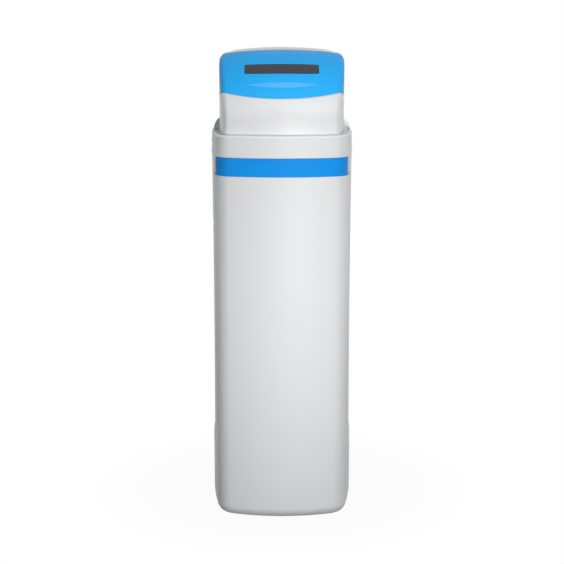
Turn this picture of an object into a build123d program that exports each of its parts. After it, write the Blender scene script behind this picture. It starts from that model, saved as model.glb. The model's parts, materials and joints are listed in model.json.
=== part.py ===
from build123d import *
import math
import os

# Cabinet water softener. Millimetres. X is across, the front faces -Y, Z is up.
# The origin is on the floor, under the middle of the cabinet.

# Cabinet outline seen from above
WIDTH = 341.0
DEPTH = 500.0
FRONT_RADIUS = 382.0
SIDE_RADIUS = 1190.0
FRONT_CORNER = 50.0
REAR_CORNER = 42.0
OVERRUN = 12.0
SEAT = 0.3

# Cabinet body, the brine tank
BODY_HEIGHT = 819.0
WALL = 3.5
FLOOR = 6.0
FOOT_RADIUS = 25.0
PANEL_FOOT = 165.0
PANEL_CORNER = 30.0
PANEL_MARGIN = 60.0
PANEL_DEEP = 3.0
PANEL_LOW = 2.0
PANEL_TOP = 1.1
NECK_HEIGHT = 20.0
NECK_WALL = 2.4
SHOULDER = 6.0

# Collar with its rim, ledge and deck
COLLAR_HEIGHT = 94.0
COLLAR_WALL = 2.2
COLLAR_GAP = 0.4
LOW_INSET = 1.2
LIP_INSET = 0.2
RIM_INSET = 1.6
RIM_ROUND = 6.0
RIM_WIDTH = 8.0
REAR_RIM_WIDTH = 5.0
LEDGE_DROP = 4.0
DECK = 4.0
SALT_SIDE = 50.5
SALT_LAND = 28.4
SALT_SETBACK = 40.0
SALT_CORNER = 30.0
VALVE_HOLE_WIDTH = 196.0
VALVE_HOLE_DEPTH = 196.0
VALVE_HOLE_CORNER = 40.0

# Blue band on the front of the collar
BAND_HEIGHT = 43.0
BAND_THICK = 2.0
BAND_END = 17.5
BAND_PEG = 2.5
BAND_PEG_LENGTH = 2.0
BAND_PEG_PITCH = 90.0

# Head: front housing, lid and hood
HEAD_INSET = 20.0
HEAD_SHELL = 3.0
HEAD_ROUND = 18.0
SMILE_HEIGHT = 85.5
SMILE_SETBACK = 18.0
SMILE_LEAN = 38.0
LID_RISE = 105.1
COVER_CLEAR = 9.3
SMILE_RISE = 17.6
SMILE_RUN = 39.5
SMILE_ROUND = 30.0
SIDE_FALL = 7.0
SEAM_LEVEL = 20.0
PART_GAP = 0.6
LIP_THICK = 2.5
LIP_RISE = 5.0
LIP_ROOT = 12.0
LIP_CLEAR = 1.5
HOOD_STEP = 7.3
CROWN_RADIUS = 1050.0
HOOD_GAP = 4.5
HOOD_SKIRT_INSET = 5.4
HOOD_SHOULDER = 31.0
BULKHEAD = 3.0
BULKHEAD_SETBACK = 11.5
BULKHEAD_CLEAR = 1.0
WINDOW_WIDTH = 176.0
WINDOW_LOW = 22.0
WINDOW_HIGH = 150.0
WINDOW_CORNER = 12.0
FOOT_FLANGE = 11.0
PIPE_NOTCH_WIDTH = 206.0
PIPE_NOTCH_HEIGHT = 84.0
TAB_WIDTH = 14.0
TAB_LENGTH = 4.0
TAB_SPACING = 150.0
TAB_GAP = 0.3

# Lid hinge
PIN_R = 2.0
PIN_PLAY = 0.05
HINGE_SIDE = 70.5
HINGE_FROM_REAR = 4.5
HINGE_DROP = 8.4
EYE_R = 4.6
ARM_WIDTH = 5.0
KNUCKLE_WIDTH = 5.0
KNUCKLE_GAP = 0.4
ARM_SLOPE = 70.0

# Name plate and finger grip in the lid
PLATE_WIDTH = 174.0
PLATE_HEIGHT = 40.0
PLATE_UP = 93.4
PLATE_CORNER = 5.0
PLATE_THICK = 1.6
PLATE_PROUD = 0.4
PLATE_PLAY = 0.3
GRIP_WIDTH = 174.0
GRIP_HEIGHT = 17.0
GRIP_UP = 26.3
GRIP_DEEP = 1.6

# Resin vessel
TANK_R = 128.5
TANK_HEIGHT = 889.0
TANK_WALL = 4.0
TANK_BACK = 14.5
TANK_DOME = 55.0
TANK_NECK_R = 42.0
TANK_NECK = 26.0
TANK_MOUTH_R = 31.5
BOOT_HEIGHT = 100.0
BOOT_WALL = 4.0
BOOT_LIFT = 12.0
BOOT_ROUND = 20.0
BOOT_HOLE_R = 70.0
RESIN_LEVEL = 560.0
RISER_R = 13.35
RISER_WALL = 2.0
STRAINER_R = 27.0
STRAINER_HEIGHT = 60.0
STRAINER_SLOTS = 8
STRAINER_SLOT = 2.0
STRAINER_SLOT_DEPTH = 3.0
TOP_STRAINER_R = 28.0
TOP_STRAINER_HEIGHT = 34.0

# Control valve body
VALVE_RISE = 70.0
VALVE_FLANGE_R = 52.0
VALVE_FLANGE = 16.0
VALVE_PLUG = 22.0
VALVE_STEM_R = 28.0
BARREL_R = 25.0
BARREL_FRONT = 29.0
BARREL_REAR = 62.0
BORE_R = 16.0
STACK_R = 15.9
STACK_BORE = 11.3
STACK_RINGS = 5
STACK_WINDOW = 6.0
BLOCK_WIDTH = 124.0
BLOCK_HEIGHT = 42.0
BLOCK_FRONT = 18.0
BLOCK_DEPTH = 26.0
PORT_SPACING = 94.0
PORT_R = 17.0
PORT_BORE = 12.5
PORT_LENGTH = 18.0

# Piston and its drive
PISTON_R = 11.2
PISTON_LENGTH = 50.0
PISTON_GROOVES = 3
PISTON_GROOVE = 4.0
PISTON_STROKE = 27.0
ROD_R = 4.0
ROD_PLAY = 0.06
ROD_LENGTH = 69.5
CAP_R = 24.0
CAP_THICK = 10.0
CAP_PLUG = 6.0
MODULE = 1.25
PINION_TEETH = 14
IDLER_TEETH = 42
DRIVE_TEETH = 56
GEAR_FACE = 8.0
BACKLASH = 0.3
HUB_R = 9.0
HUB_LENGTH = 4.0
IDLER_TILT = 35.0
AXLE_R = 1.5
AXLE_PLAY = 0.05
GEAR_STEP = 2.0
GEAR_BACK = 4.0
MOTOR_R = 13.0
MOTOR_LENGTH = 32.0
MOTOR_SHAFT_R = 1.2
BRACKET = 3.0
POST_R = 4.0
POST_SPACING = 96.0

# Controller
COVER_WIDTH = 170.0
COVER_HEIGHT = 135.0
COVER_LOW = 40.0
COVER_DEPTH = 51.0
COVER_WALL = 2.5
COVER_ROUND = 8.0
BOARD_WIDTH = 148.0
BOARD_HEIGHT = 76.0
BOARD_THICK = 1.6
BOARD_BACK = 4.6
BOARD_LOW = 9.0
BOSS_R = 3.0
DISPLAY_WIDTH = 72.0
DISPLAY_HEIGHT = 32.0
DISPLAY_UP = 60.0
DISPLAY_THICK = 2.6
DISPLAY_BEZEL = 4.0
WINDOW_PANE = 1.2
BUTTON_COUNT = 4
BUTTON_PITCH = 30.0
BUTTON_R = 7.0
BUTTON_PLAY = 0.3
BUTTON_UP = 20.0
BUTTON_PROUD = 1.7
BUTTON_FLANGE = 1.6
BUTTON_FLANGE_THICK = 1.0
BUTTON_STEM = 1.2
BUTTON_TRAVEL = 1.0
SWITCH_R = 3.0
SWITCH_THICK = 0.8

# Meter
TURBINE_R = 11.6
TURBINE_HUB = 4.0
TURBINE_LENGTH = 14.0
TURBINE_BLADES = 6
BLADE_THICK = 1.2
HOLDER_RING = 2.0
HOLDER_LENGTH = 4.0

# Bypass
UNION_R = 22.0
UNION_LENGTH = 10.0
BYPASS_TUBE_R = 17.0
BYPASS_LENGTH = 52.0
CROSS_R = 11.0
ROTOR_HOUSING_R = 20.0
ROTOR_R = 14.0
ROTOR_PLAY = 0.05
ROTOR_HOUSING_HEIGHT = 44.0
ROTOR_FLOOR = 4.0
KNOB_R = 15.0
KNOB_HEIGHT = 9.0
KNOB_ARM = 24.0
KNOB_ARM_WIDTH = 12.0
STUB_R = 13.2
STUB_BORE = 9.5
STUB_LENGTH = 32.0
STUB_SHOULDER_R = 15.5
STUB_CHAMFER = 1.2
STUB_NUT_LENGTH = 12.0

# Drain and brine connections on the valve
ELBOW_R = 8.0
ELBOW_BORE = 4.5
ELBOW_REACH = 21.0
ELBOW_UP = 8.0
DRAIN_LENGTH = 118.0
DRAIN_STOP_R = 11.0
DRAIN_STOP = 3.0
DRAIN_SPIGOT = 22.0
BRINE_DROP = 30.0
LINE_R = 4.8
LINE_BORE = 3.2
LINE_BEND = 16.0
LINE_ABOVE_DOME = 10.0
INJECTOR_R = 12.0
INJECTOR_HEIGHT = 16.0
INJECTOR_CAP_R = 15.0
INJECTOR_CAP = 8.0

# Brine well and safety float
WELL_R = 45.0
WELL_WALL = 2.5
WELL_LEFT = 70.0
WELL_FRONT = 100.0
WELL_TOP = 30.0
WELL_SLOTS = 6
WELL_SLOT_WIDTH = 3.0
WELL_SLOT_HEIGHT = 60.0
WELL_SLOT_UP = 20.0
WELL_CAP_SKIRT = 14.0
WELL_CAP_WALL = 2.0
WELL_CAP_GAP = 0.4
WELL_CAP_GRIP = 10.0
LINE_ENTRY_DROP = 28.0
PICKUP_R = 6.0
PICKUP_OFFSET = 13.0
CHECK_R = 14.0
CHECK_HEIGHT = 48.0
VALVE_BLOCK_R = 11.0
VALVE_BLOCK_HEIGHT = 34.0
GUIDE_THICK = 4.0
GUIDE_R = 6.0
FLOAT_ROD_R = 2.5
FLOAT_ROD_PLAY = 0.05
FLOAT_ROD_LENGTH = 420.0
FLOAT_OFFSET = 15.0
FLOAT_R = 19.0
FLOAT_HEIGHT = 48.0
FLOAT_UP = 20.0
FLOAT_TRAVEL = 30.0
FLOAT_STOP_R = 4.5
FLOAT_STOP = 5.0

# Overflow fitting on the rear wall
OVERFLOW_DROP = 60.0
OVERFLOW_SIDE = 70.0
OVERFLOW_R = 9.0
OVERFLOW_BORE = 6.5
OVERFLOW_FLANGE_R = 16.0
OVERFLOW_FLANGE = 3.0
OVERFLOW_NUT_R = 15.0
OVERFLOW_NUT = 7.0
OVERFLOW_REACH = 18.0

# Power inlet and screws
POWER_R = 6.0
POWER_LENGTH = 12.0
POWER_SIDE = 60.0
SCREW_R = 2.0
SCREW_HEAD_R = 4.0
SCREW_HEAD = 2.4
SCREW_LENGTH = 10.0
SCREW_SIDE = 60.5

# Levels and places that follow from the sizes above
FRONT_Y = -DEPTH / 2
REAR_Y = DEPTH / 2
ARC_Y = FRONT_Y + FRONT_RADIUS
SEAM_Z = BODY_HEIGHT
RIM_Z = SEAM_Z + COLLAR_HEIGHT
LEDGE_Z = RIM_Z - LEDGE_DROP
DECK_Z = LEDGE_Z - DECK
BAND_TOP_Z = SEAM_Z + BAND_HEIGHT
BAND_FLOOR = LOW_INSET + BAND_THICK + PART_GAP / 2
CAVITY_INSET = BAND_FLOOR + COLLAR_WALL
NECK_INSET = CAVITY_INSET + COLLAR_GAP
BODY_INNER = WALL + PANEL_DEEP

TANK_Y = REAR_Y - TANK_BACK - TANK_R
TANK_FOOT_Z = FLOOR
TANK_TOP_Z = TANK_FOOT_Z + TANK_HEIGHT
TANK_BOTTOM_Z = TANK_FOOT_Z + BOOT_LIFT
VALVE_Z = TANK_TOP_Z + VALVE_RISE
BARREL_FRONT_Y = TANK_Y - BARREL_FRONT
BLOCK_Y = TANK_Y + BLOCK_FRONT
PORT_END_Y = BLOCK_Y + BLOCK_DEPTH + PORT_LENGTH
CAP_Y = BARREL_FRONT_Y - CAP_THICK
PLATE_BACK_Y = CAP_Y - SEAT
COVER_BACK_Y = PLATE_BACK_Y - BRACKET
COVER_FRONT_Y = COVER_BACK_Y - COVER_DEPTH
COVER_Z = VALVE_Z - COVER_LOW
BOARD_Y = COVER_FRONT_Y + COVER_WALL + BOARD_BACK
BOARD_Z = VALVE_Z + BOARD_LOW
BUTTON_Z = VALVE_Z + BUTTON_UP
DISPLAY_Z = VALVE_Z + DISPLAY_UP

SMILE_Z = LEDGE_Z + SMILE_HEIGHT
SMILE_Y = FRONT_Y + HEAD_INSET + SMILE_SETBACK
LEAN = math.radians(SMILE_LEAN)
BROW_RADIUS = SMILE_SETBACK / (1 - math.cos(LEAN))
BROW_Y = SMILE_Y + BROW_RADIUS * math.cos(LEAN)
BROW_Z = SMILE_Z - BROW_RADIUS * math.sin(LEAN)
BULKHEAD_Y = COVER_FRONT_Y - COVER_CLEAR - BULKHEAD
LID_REAR_Y = BULKHEAD_Y - BULKHEAD_SETBACK
LID_REAR_Z = SMILE_Z + LID_RISE
END = 2 * math.atan2(LID_REAR_Y - SMILE_Y, LID_RISE) - LEAN
LID_RADIUS = LID_RISE / (math.sin(END) - math.sin(LEAN))
ROOF_Y = SMILE_Y + LID_RADIUS * math.cos(LEAN)
ROOF_Z = SMILE_Z - LID_RADIUS * math.sin(LEAN)
PLATE_TURN = LEAN + PLATE_UP / LID_RADIUS
GRIP_TURN = LEAN + GRIP_UP / LID_RADIUS
HOOD_FRONT_Y = LID_REAR_Y + HOOD_GAP
HOOD_TOP_Z = LID_REAR_Z + HOOD_STEP
HINGE_Y = LID_REAR_Y - HINGE_FROM_REAR
HINGE_SPACING = WIDTH - 2 * HINGE_SIDE
HINGE_TURN_Y = ARC_Y - math.hypot(HINGE_SPACING / 2, ARC_Y - HINGE_Y)
HINGE_SKIN_Z = ROOF_Z + math.sqrt(LID_RADIUS**2 - (ROOF_Y - HINGE_TURN_Y) ** 2)
HINGE_Z = HINGE_SKIN_Z - HINGE_DROP
SCREW_PITCH = WIDTH / 2 - SCREW_SIDE
BAND_HALF = WIDTH / 2 - BAND_END
SALT_WIDTH = WIDTH - 2 * SALT_SIDE
SALT_DEPTH = BULKHEAD_Y - FOOT_FLANGE - SALT_LAND - SALT_SETBACK - FRONT_Y

WELL_X = -WELL_LEFT
WELL_Y = FRONT_Y + WELL_FRONT
WELL_TOP_Z = DECK_Z - WELL_TOP
LINE_ENTRY_Z = WELL_TOP_Z - LINE_ENTRY_DROP

nodes = {}


def put(name, shape):
    """Keep one sub-part under the name that it is written with."""
    nodes[name] = shape


def cylinder_z(x, y, low, high, radius):
    """Upright round bar between two heights."""
    return Pos(x, y, low) * extrude(Circle(radius), high - low)


def cylinder_y(x, z, front, back, radius):
    """Round bar from front to back."""
    return Pos(x, back, z) * Rot(90, 0, 0) * extrude(Circle(radius), back - front)


def cylinder_x(y, z, left, right, radius):
    """Round bar from left to right."""
    return Pos(left, y, z) * Rot(0, 90, 0) * extrude(Circle(radius), right - left)


def block(x0, x1, y0, y1, z0, z1):
    """Box between two corners."""
    centre = Pos((x0 + x1) / 2, (y0 + y1) / 2, (z0 + z1) / 2)
    return centre * Box(x1 - x0, y1 - y0, z1 - z0)


def slot_plate(x, y, width, depth, corner, low, high):
    """Upright prism with a rounded rectangle as its plan."""
    return Pos(x, y, low) * extrude(RectangleRounded(width, depth, corner), high - low)


# Plan of the cabinet, drawn in by an inset all round
def crossing(inset):
    """Point where the front arc meets the right side arc."""
    front_r = FRONT_RADIUS - inset
    side_r = SIDE_RADIUS - inset
    side_x = WIDTH / 2 - SIDE_RADIUS
    apart = math.hypot(side_x, ARC_Y)
    along = (front_r**2 - side_r**2 + apart**2) / (2 * apart)
    across = math.sqrt(front_r**2 - along**2)
    ux = side_x / apart
    uy = -ARC_Y / apart
    return along * ux - across * uy, ARC_Y + along * uy + across * ux


def side_at(y, inset):
    """Half width of the plan at a place from front to back."""
    side_x = WIDTH / 2 - SIDE_RADIUS
    return side_x + math.sqrt((SIDE_RADIUS - inset) ** 2 - y**2)


def plan(inset, height):
    """Face of the plan at a height: bowed front, bowed sides, flat rear."""
    corner_x, corner_y = crossing(inset)
    rear = REAR_Y - inset
    rear_x = side_at(rear, inset)
    side_x = side_at(0, inset)
    outline = [
        ThreePointArc((-corner_x, corner_y), (0, FRONT_Y + inset), (corner_x, corner_y)),
        ThreePointArc((corner_x, corner_y), (side_x, 0), (rear_x, rear)),
        Line((rear_x, rear), (-rear_x, rear)),
        ThreePointArc((-rear_x, rear), (-side_x, 0), (-corner_x, corner_y)),
    ]
    face = make_face(outline)
    face = fillet(face.vertices().sort_by(Axis.Y)[:2], FRONT_CORNER - inset)
    rear_ends = [v for v in face.vertices() if abs(v.Y - rear) < SEAT]
    face = fillet(rear_ends, REAR_CORNER - inset)
    return Pos(0, 0, height) * face


def prism(inset, low, high):
    """Plan carried straight up between two heights."""
    return extrude(plan(inset, low), high - low)


# Cabinet body
def make_body():
    """Blow-moulded tank with rounded foot, sunk side panels and a neck."""
    outer = prism(0, 0, SEAM_Z)
    outer = fillet(outer.faces().sort_by(Axis.Z)[0].edges(), FOOT_RADIUS)
    middle = (PANEL_FOOT + SEAM_Z) / 2
    core = loft(
        [
            plan(PANEL_LOW, PANEL_FOOT - OVERRUN),
            plan(PANEL_DEEP, middle),
            plan(PANEL_TOP, SEAM_Z + OVERRUN),
        ]
    )
    panel_length = DEPTH - 2 * PANEL_MARGIN
    panel_height = SEAM_Z - PANEL_FOOT + 2 * PANEL_CORNER
    panel = Pos(-WIDTH, 0, PANEL_FOOT + panel_height / 2) * Rot(0, 90, 0) * extrude(
        RectangleRounded(panel_height, panel_length, PANEL_CORNER), 2 * WIDTH
    )
    body = outer - (panel - core)
    cavity = prism(BODY_INNER, FLOOR, SEAM_Z - SHOULDER)
    cavity = fillet(cavity.faces().sort_by(Axis.Z)[0].edges(), FOOT_RADIUS - WALL)
    neck = prism(NECK_INSET, SEAM_Z - SHOULDER, SEAM_Z + NECK_HEIGHT)
    mouth = prism(NECK_INSET + NECK_WALL, SEAM_Z - SHOULDER - SEAT, SEAM_Z + NECK_HEIGHT)
    body = body + neck - cavity - mouth
    hole_z = SEAM_Z - OVERFLOW_DROP
    return body - cylinder_y(OVERFLOW_SIDE, hole_z, REAR_Y - OVERRUN, REAR_Y + OVERRUN, OVERFLOW_R)


# Collar
def make_collar():
    """Ring that closes the cabinet: lower zone, proud rim, ledge and deck."""
    low = prism(LOW_INSET, SEAM_Z, BAND_TOP_Z)
    high = loft([plan(LIP_INSET, BAND_TOP_Z), plan(RIM_INSET, RIM_Z)], ruled=True)
    high = fillet(high.faces().sort_by(Axis.Z)[-1].edges(), RIM_ROUND)
    collar = low + high
    collar -= prism(CAVITY_INSET, SEAM_Z, DECK_Z)
    collar -= prism(RIM_WIDTH, LEDGE_Z, RIM_Z)
    rear = prism(REAR_RIM_WIDTH, LEDGE_Z, RIM_Z)
    collar -= rear & block(-WIDTH, WIDTH, HOOD_FRONT_Y - SEAT, REAR_Y, LEDGE_Z, RIM_Z)
    front = prism(-OVERRUN, SEAM_Z, BAND_TOP_Z) - prism(BAND_FLOOR, SEAM_Z, BAND_TOP_Z)
    reach = BAND_HALF + PART_GAP / 2
    collar -= front & block(-reach, reach, FRONT_Y - OVERRUN, ARC_Y - FRONT_RADIUS / 2, SEAM_Z, BAND_TOP_Z)
    salt_y = (salt_front() + salt_back()) / 2
    collar -= slot_plate(0, salt_y, SALT_WIDTH, SALT_DEPTH, SALT_CORNER, DECK_Z, LEDGE_Z)
    collar -= slot_plate(
        0, TANK_Y, VALVE_HOLE_WIDTH, VALVE_HOLE_DEPTH, VALVE_HOLE_CORNER, DECK_Z, LEDGE_Z
    )
    for x, z in peg_places():
        collar -= cylinder_y(x, z, FRONT_Y, FRONT_Y + SALT_SETBACK, BAND_PEG + SEAT / 2)
    for x in (-1, 1):
        for y in tab_rows():
            wide = TAB_WIDTH + 2 * TAB_GAP
            thick = HEAD_SHELL + 2 * TAB_GAP
            centre = x * (side_at(y, HOOD_SKIRT_INSET) - HEAD_SHELL / 2)
            collar -= block(
                centre - thick / 2, centre + thick / 2, y - wide / 2, y + wide / 2, DECK_Z, LEDGE_Z
            )
    for x in screw_places():
        collar -= cylinder_z(x, screw_y(), DECK_Z, LEDGE_Z, SCREW_R + PIN_PLAY)
    return collar


def salt_front():
    """Front edge of the salt hole in the deck."""
    return FRONT_Y + SALT_SETBACK


def salt_back():
    """Back edge of the salt hole in the deck."""
    return salt_front() + SALT_DEPTH


def peg_places():
    """Places of the pegs behind the band."""
    return [(x * BAND_PEG_PITCH, SEAM_Z + BAND_HEIGHT / 2) for x in (-1, 0, 1)]


def tab_rows():
    """Places along the sides of the tabs that locate the hood."""
    return [HOOD_FRONT_Y + TAB_WIDTH * 2, HOOD_FRONT_Y + TAB_WIDTH * 2 + TAB_SPACING]


def screw_places():
    """Places across the bulkhead of the screws that hold the housing."""
    return [(k - 1) * SCREW_PITCH for k in range(3)]


def screw_y():
    """Line of the housing screws."""
    return BULKHEAD_Y - FOOT_FLANGE / 2


def make_band():
    """Curved strip that clips into the front of the collar."""
    low = SEAM_Z + PART_GAP / 2
    high = BAND_TOP_Z - PART_GAP / 2
    strip = prism(LOW_INSET, low, high) - prism(LOW_INSET + BAND_THICK, low, high)
    strip &= block(-BAND_HALF, BAND_HALF, FRONT_Y, ARC_Y - FRONT_RADIUS / 2, low, high)
    backs = extrude(plan(LOW_INSET + BAND_THICK / 2, low), high - low)
    for x, z in peg_places():
        skin = FRONT_Y + FRONT_RADIUS - math.sqrt(FRONT_RADIUS**2 - x**2) + LOW_INSET
        peg = cylinder_y(x, z, skin, skin + BAND_THICK + BAND_PEG_LENGTH, BAND_PEG)
        strip += peg & backs
    return strip


# Head shapes
def dome(inset):
    """Turned body whose skin is the panel front, the brow and the lid roof."""
    brow = BROW_RADIUS - inset
    roof = LID_RADIUS - inset
    foot = (0, BROW_Y - brow, SEAM_Z)
    start = (0, BROW_Y - brow, BROW_Z)
    brow_mid = (0, BROW_Y - brow * math.cos(LEAN / 2), BROW_Z + brow * math.sin(LEAN / 2))
    smile = (0, BROW_Y - brow * math.cos(LEAN), BROW_Z + brow * math.sin(LEAN))
    turn = (LEAN + END) / 2
    roof_mid = (0, ROOF_Y - roof * math.cos(turn), ROOF_Z + roof * math.sin(turn))
    back = (0, ROOF_Y - roof * math.cos(END), ROOF_Z + roof * math.sin(END))
    peak = (0, ARC_Y, back[2] + (ARC_Y - back[1]) / math.tan(END))
    root = (0, ARC_Y, SEAM_Z)
    outline = [
        Line(foot, start),
        ThreePointArc(start, brow_mid, smile),
        ThreePointArc(smile, roof_mid, back),
        Line(back, peak),
        Line(peak, root),
        Line(root, foot),
    ]
    return revolve(make_face(outline), Axis((0, ARC_Y, 0), (0, 0, 1)), 360)


def head(inset):
    """Solid of the front half of the head, its edges rounded."""
    wall = HEAD_INSET + inset
    front = FRONT_Y - OVERRUN
    back = BULKHEAD_Y
    outline = [
        Line((-side_at(front, wall), front), (side_at(front, wall), front)),
        ThreePointArc(
            (side_at(front, wall), front),
            (side_at(front / 2, wall), front / 2),
            (side_at(back, wall), back),
        ),
        Line((side_at(back, wall), back), (-side_at(back, wall), back)),
        ThreePointArc(
            (-side_at(back, wall), back),
            (-side_at(front / 2, wall), front / 2),
            (-side_at(front, wall), front),
        ),
    ]
    sides = Pos(0, 0, LEDGE_Z) * extrude(make_face(outline), HOOD_TOP_Z + OVERRUN - LEDGE_Z)
    shape = sides & dome(inset)
    flank = WIDTH / 4
    corners = [
        e
        for e in shape.edges()
        if abs(e.center().X) > flank
        and abs(e.center().Z - LEDGE_Z) > SEAT
        and e.center().Y < back - SEAT
    ]
    return fillet(corners, HEAD_ROUND - inset)


def above_smile(lift):
    """Everything above the parting line of lid and front housing."""
    rise = math.tan(math.radians(SMILE_RISE))
    fall = math.tan(math.radians(SIDE_FALL))
    low_y = FRONT_Y - OVERRUN
    high_y = REAR_Y
    peak_y = SMILE_Y + SMILE_RUN
    peak_z = SMILE_Z + SMILE_RUN * rise + lift
    low_z = peak_z - (peak_y - low_y) * rise
    level_y = HINGE_Y - SEAM_LEVEL
    back_z = peak_z - (level_y - peak_y) * fall
    top_z = HOOD_TOP_Z + 2 * OVERRUN
    seam = [(low_y, low_z), (peak_y, peak_z), (level_y, back_z), (high_y, back_z)]
    points = seam + [(high_y, top_z), (low_y, top_z)]
    face = make_face(Polyline([(0, y, z) for y, z in points], close=True))
    peak = min(face.vertices(), key=lambda v: abs(v.Y - peak_y) + abs(v.Z - peak_z))
    face = fillet(peak, SMILE_ROUND)
    return Pos(-WIDTH, 0, 0) * extrude(face, 2 * WIDTH, dir=(1, 0, 0))


def behind(y):
    """Everything behind a plane across the cabinet."""
    return block(-WIDTH, WIDTH, y, REAR_Y + OVERRUN, 0, HOOD_TOP_Z + 2 * OVERRUN)


def hood(inset):
    """Solid of the rear half of the head with its shoulders."""
    roof = HOOD_TOP_Z - inset
    crown = CROWN_RADIUS - inset
    half = WIDTH / 2
    edge_z = roof - crown + math.sqrt(crown**2 - half**2)
    outline = [
        Line((-half, 0, SEAM_Z), (half, 0, SEAM_Z)),
        Line((half, 0, SEAM_Z), (half, 0, edge_z)),
        ThreePointArc((half, 0, edge_z), (0, 0, roof), (-half, 0, edge_z)),
        Line((-half, 0, edge_z), (-half, 0, SEAM_Z)),
    ]
    vault = Pos(0, -DEPTH, 0) * extrude(make_face(outline), 2 * DEPTH, dir=(0, 1, 0))
    upper = prism(HEAD_INSET + inset, LEDGE_Z, HOOD_TOP_Z + OVERRUN) & vault & behind(HOOD_FRONT_Y)
    rim = [
        e
        for e in upper.edges()
        if e.center().Z > LEDGE_Z + HOOD_SHOULDER * 2
        and e.center().Y > HOOD_FRONT_Y + SEAT
        and e.length > HEAD_SHELL
        and not vertical(e)
    ]
    upper = fillet(rim, HEAD_ROUND - inset)
    skirt = prism(HOOD_SKIRT_INSET + inset, LEDGE_Z, LEDGE_Z + HOOD_SHOULDER + HEAD_SHELL - inset)
    skirt = fillet(skirt.faces().sort_by(Axis.Z)[-1].edges(), HOOD_SHOULDER - inset)
    return upper + (skirt & behind(HOOD_FRONT_Y))


def vertical(edge):
    """Whether an edge stands upright."""
    box = edge.bounding_box()
    return box.size.Z > 2 * max(box.size.X, box.size.Y)


# Front housing, lid and hood
def make_housing():
    """Grey front panel with side wings, and the bulkhead behind the lid."""
    skin = head(0) - head(HEAD_SHELL)
    keep = block(-WIDTH, WIDTH, FRONT_Y, HOOD_FRONT_Y - PART_GAP, LEDGE_Z, HOOD_TOP_Z)
    panel = (skin - above_smile(-PART_GAP / 2)) & keep
    inner = head(HEAD_SHELL + LIP_CLEAR + LIP_THICK)
    root = (head(HEAD_SHELL - SEAT) - inner) & above_smile(-LIP_ROOT)
    root = (root - above_smile(-PART_GAP)) & keep
    rise = (head(HEAD_SHELL + LIP_CLEAR) - inner) & above_smile(-PART_GAP - SEAT)
    rise = (rise - above_smile(LIP_RISE)) & keep
    wing_low = LEDGE_Z
    wing_high = LEDGE_Z + SMILE_HEIGHT - LIP_ROOT
    wing_y = HOOD_FRONT_Y - FOOT_FLANGE * 2
    bulk_y = BULKHEAD_Y + BULKHEAD
    sleeve = prism(HEAD_INSET + HEAD_SHELL + SEAT, wing_low, wing_high)
    sleeve &= block(-WIDTH, WIDTH, wing_y, bulk_y, wing_low, wing_high)
    joint = prism(HEAD_INSET + HEAD_SHELL - SEAT, wing_low, wing_high)
    sleeve += joint & block(-WIDTH, WIDTH, wing_y, HOOD_FRONT_Y - PART_GAP, wing_low, wing_high)
    sleeve -= prism(HEAD_INSET + 2 * HEAD_SHELL, wing_low, wing_high)
    inside = hood(HEAD_SHELL + BULKHEAD_CLEAR)
    wall = inside & block(-WIDTH, WIDTH, BULKHEAD_Y, BULKHEAD_Y + BULKHEAD, LEDGE_Z, HOOD_TOP_Z)
    reach = side_at(BULKHEAD_Y, HEAD_INSET + HEAD_SHELL + BULKHEAD_CLEAR)
    wall &= block(-reach, reach, BULKHEAD_Y, BULKHEAD_Y + BULKHEAD, LEDGE_Z, HOOD_TOP_Z)
    window_z = LEDGE_Z + (WINDOW_LOW + WINDOW_HIGH) / 2
    window = Pos(0, BULKHEAD_Y + OVERRUN, window_z) * Rot(90, 0, 0) * extrude(
        RectangleRounded(WINDOW_WIDTH, WINDOW_HIGH - WINDOW_LOW, WINDOW_CORNER), 2 * OVERRUN
    )
    wall -= window
    foot = block(-reach, reach, BULKHEAD_Y - FOOT_FLANGE, BULKHEAD_Y, LEDGE_Z, LEDGE_Z + BULKHEAD)
    for x in screw_places():
        foot -= cylinder_z(x, screw_y(), LEDGE_Z, LEDGE_Z + BULKHEAD, SCREW_R + PIN_PLAY)
    arms = [make_arm(side) for side in (-1, 1)]
    housing = panel + root + rise + sleeve + wall + foot
    for arm in arms:
        housing += arm
    return housing


def make_arm(side):
    """Hinge arm that climbs from the bulkhead to the lid pin."""
    slope = math.radians(ARM_SLOPE)
    centre = side * HINGE_SPACING / 2
    left = centre - ARM_WIDTH / 2
    right = centre + ARM_WIDTH / 2
    run = BULKHEAD_Y + BULKHEAD / 2 - HINGE_Y
    fall = run * math.tan(slope)
    rise_y = EYE_R * math.sin(slope)
    rise_z = EYE_R * math.cos(slope)
    points = [
        (HINGE_Y + rise_y, HINGE_Z + rise_z),
        (HINGE_Y - rise_y, HINGE_Z - rise_z),
        (HINGE_Y + run, HINGE_Z - fall - EYE_R / math.cos(slope)),
        (HINGE_Y + run, HINGE_Z - fall + EYE_R / math.cos(slope)),
    ]
    web = make_face(Polyline([(0, y, z) for y, z in points], close=True))
    arm = Pos(left, 0, 0) * extrude(web, ARM_WIDTH, dir=(1, 0, 0))
    arm += cylinder_x(HINGE_Y, HINGE_Z, left, right, EYE_R)
    return arm - cylinder_x(HINGE_Y, HINGE_Z, left, right, PIN_R)


def knuckle_spans():
    """Left and right ends of each lid knuckle."""
    inner = ARM_WIDTH / 2 + KNUCKLE_GAP
    outer = inner + KNUCKLE_WIDTH
    spans = []
    for side in (-1, 1):
        centre = side * HINGE_SPACING / 2
        spans.append((centre + inner, centre + outer))
        spans.append((centre - outer, centre - inner))
    return spans


def slope_frame(turn):
    """Plane that lies on the lid roof at an angle of its arc."""
    y = ROOF_Y - LID_RADIUS * math.cos(turn)
    z = ROOF_Z + LID_RADIUS * math.sin(turn)
    normal = (0, -math.cos(turn), math.sin(turn))
    return Plane(origin=(0, y, z), x_dir=(1, 0, 0), z_dir=normal)


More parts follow.
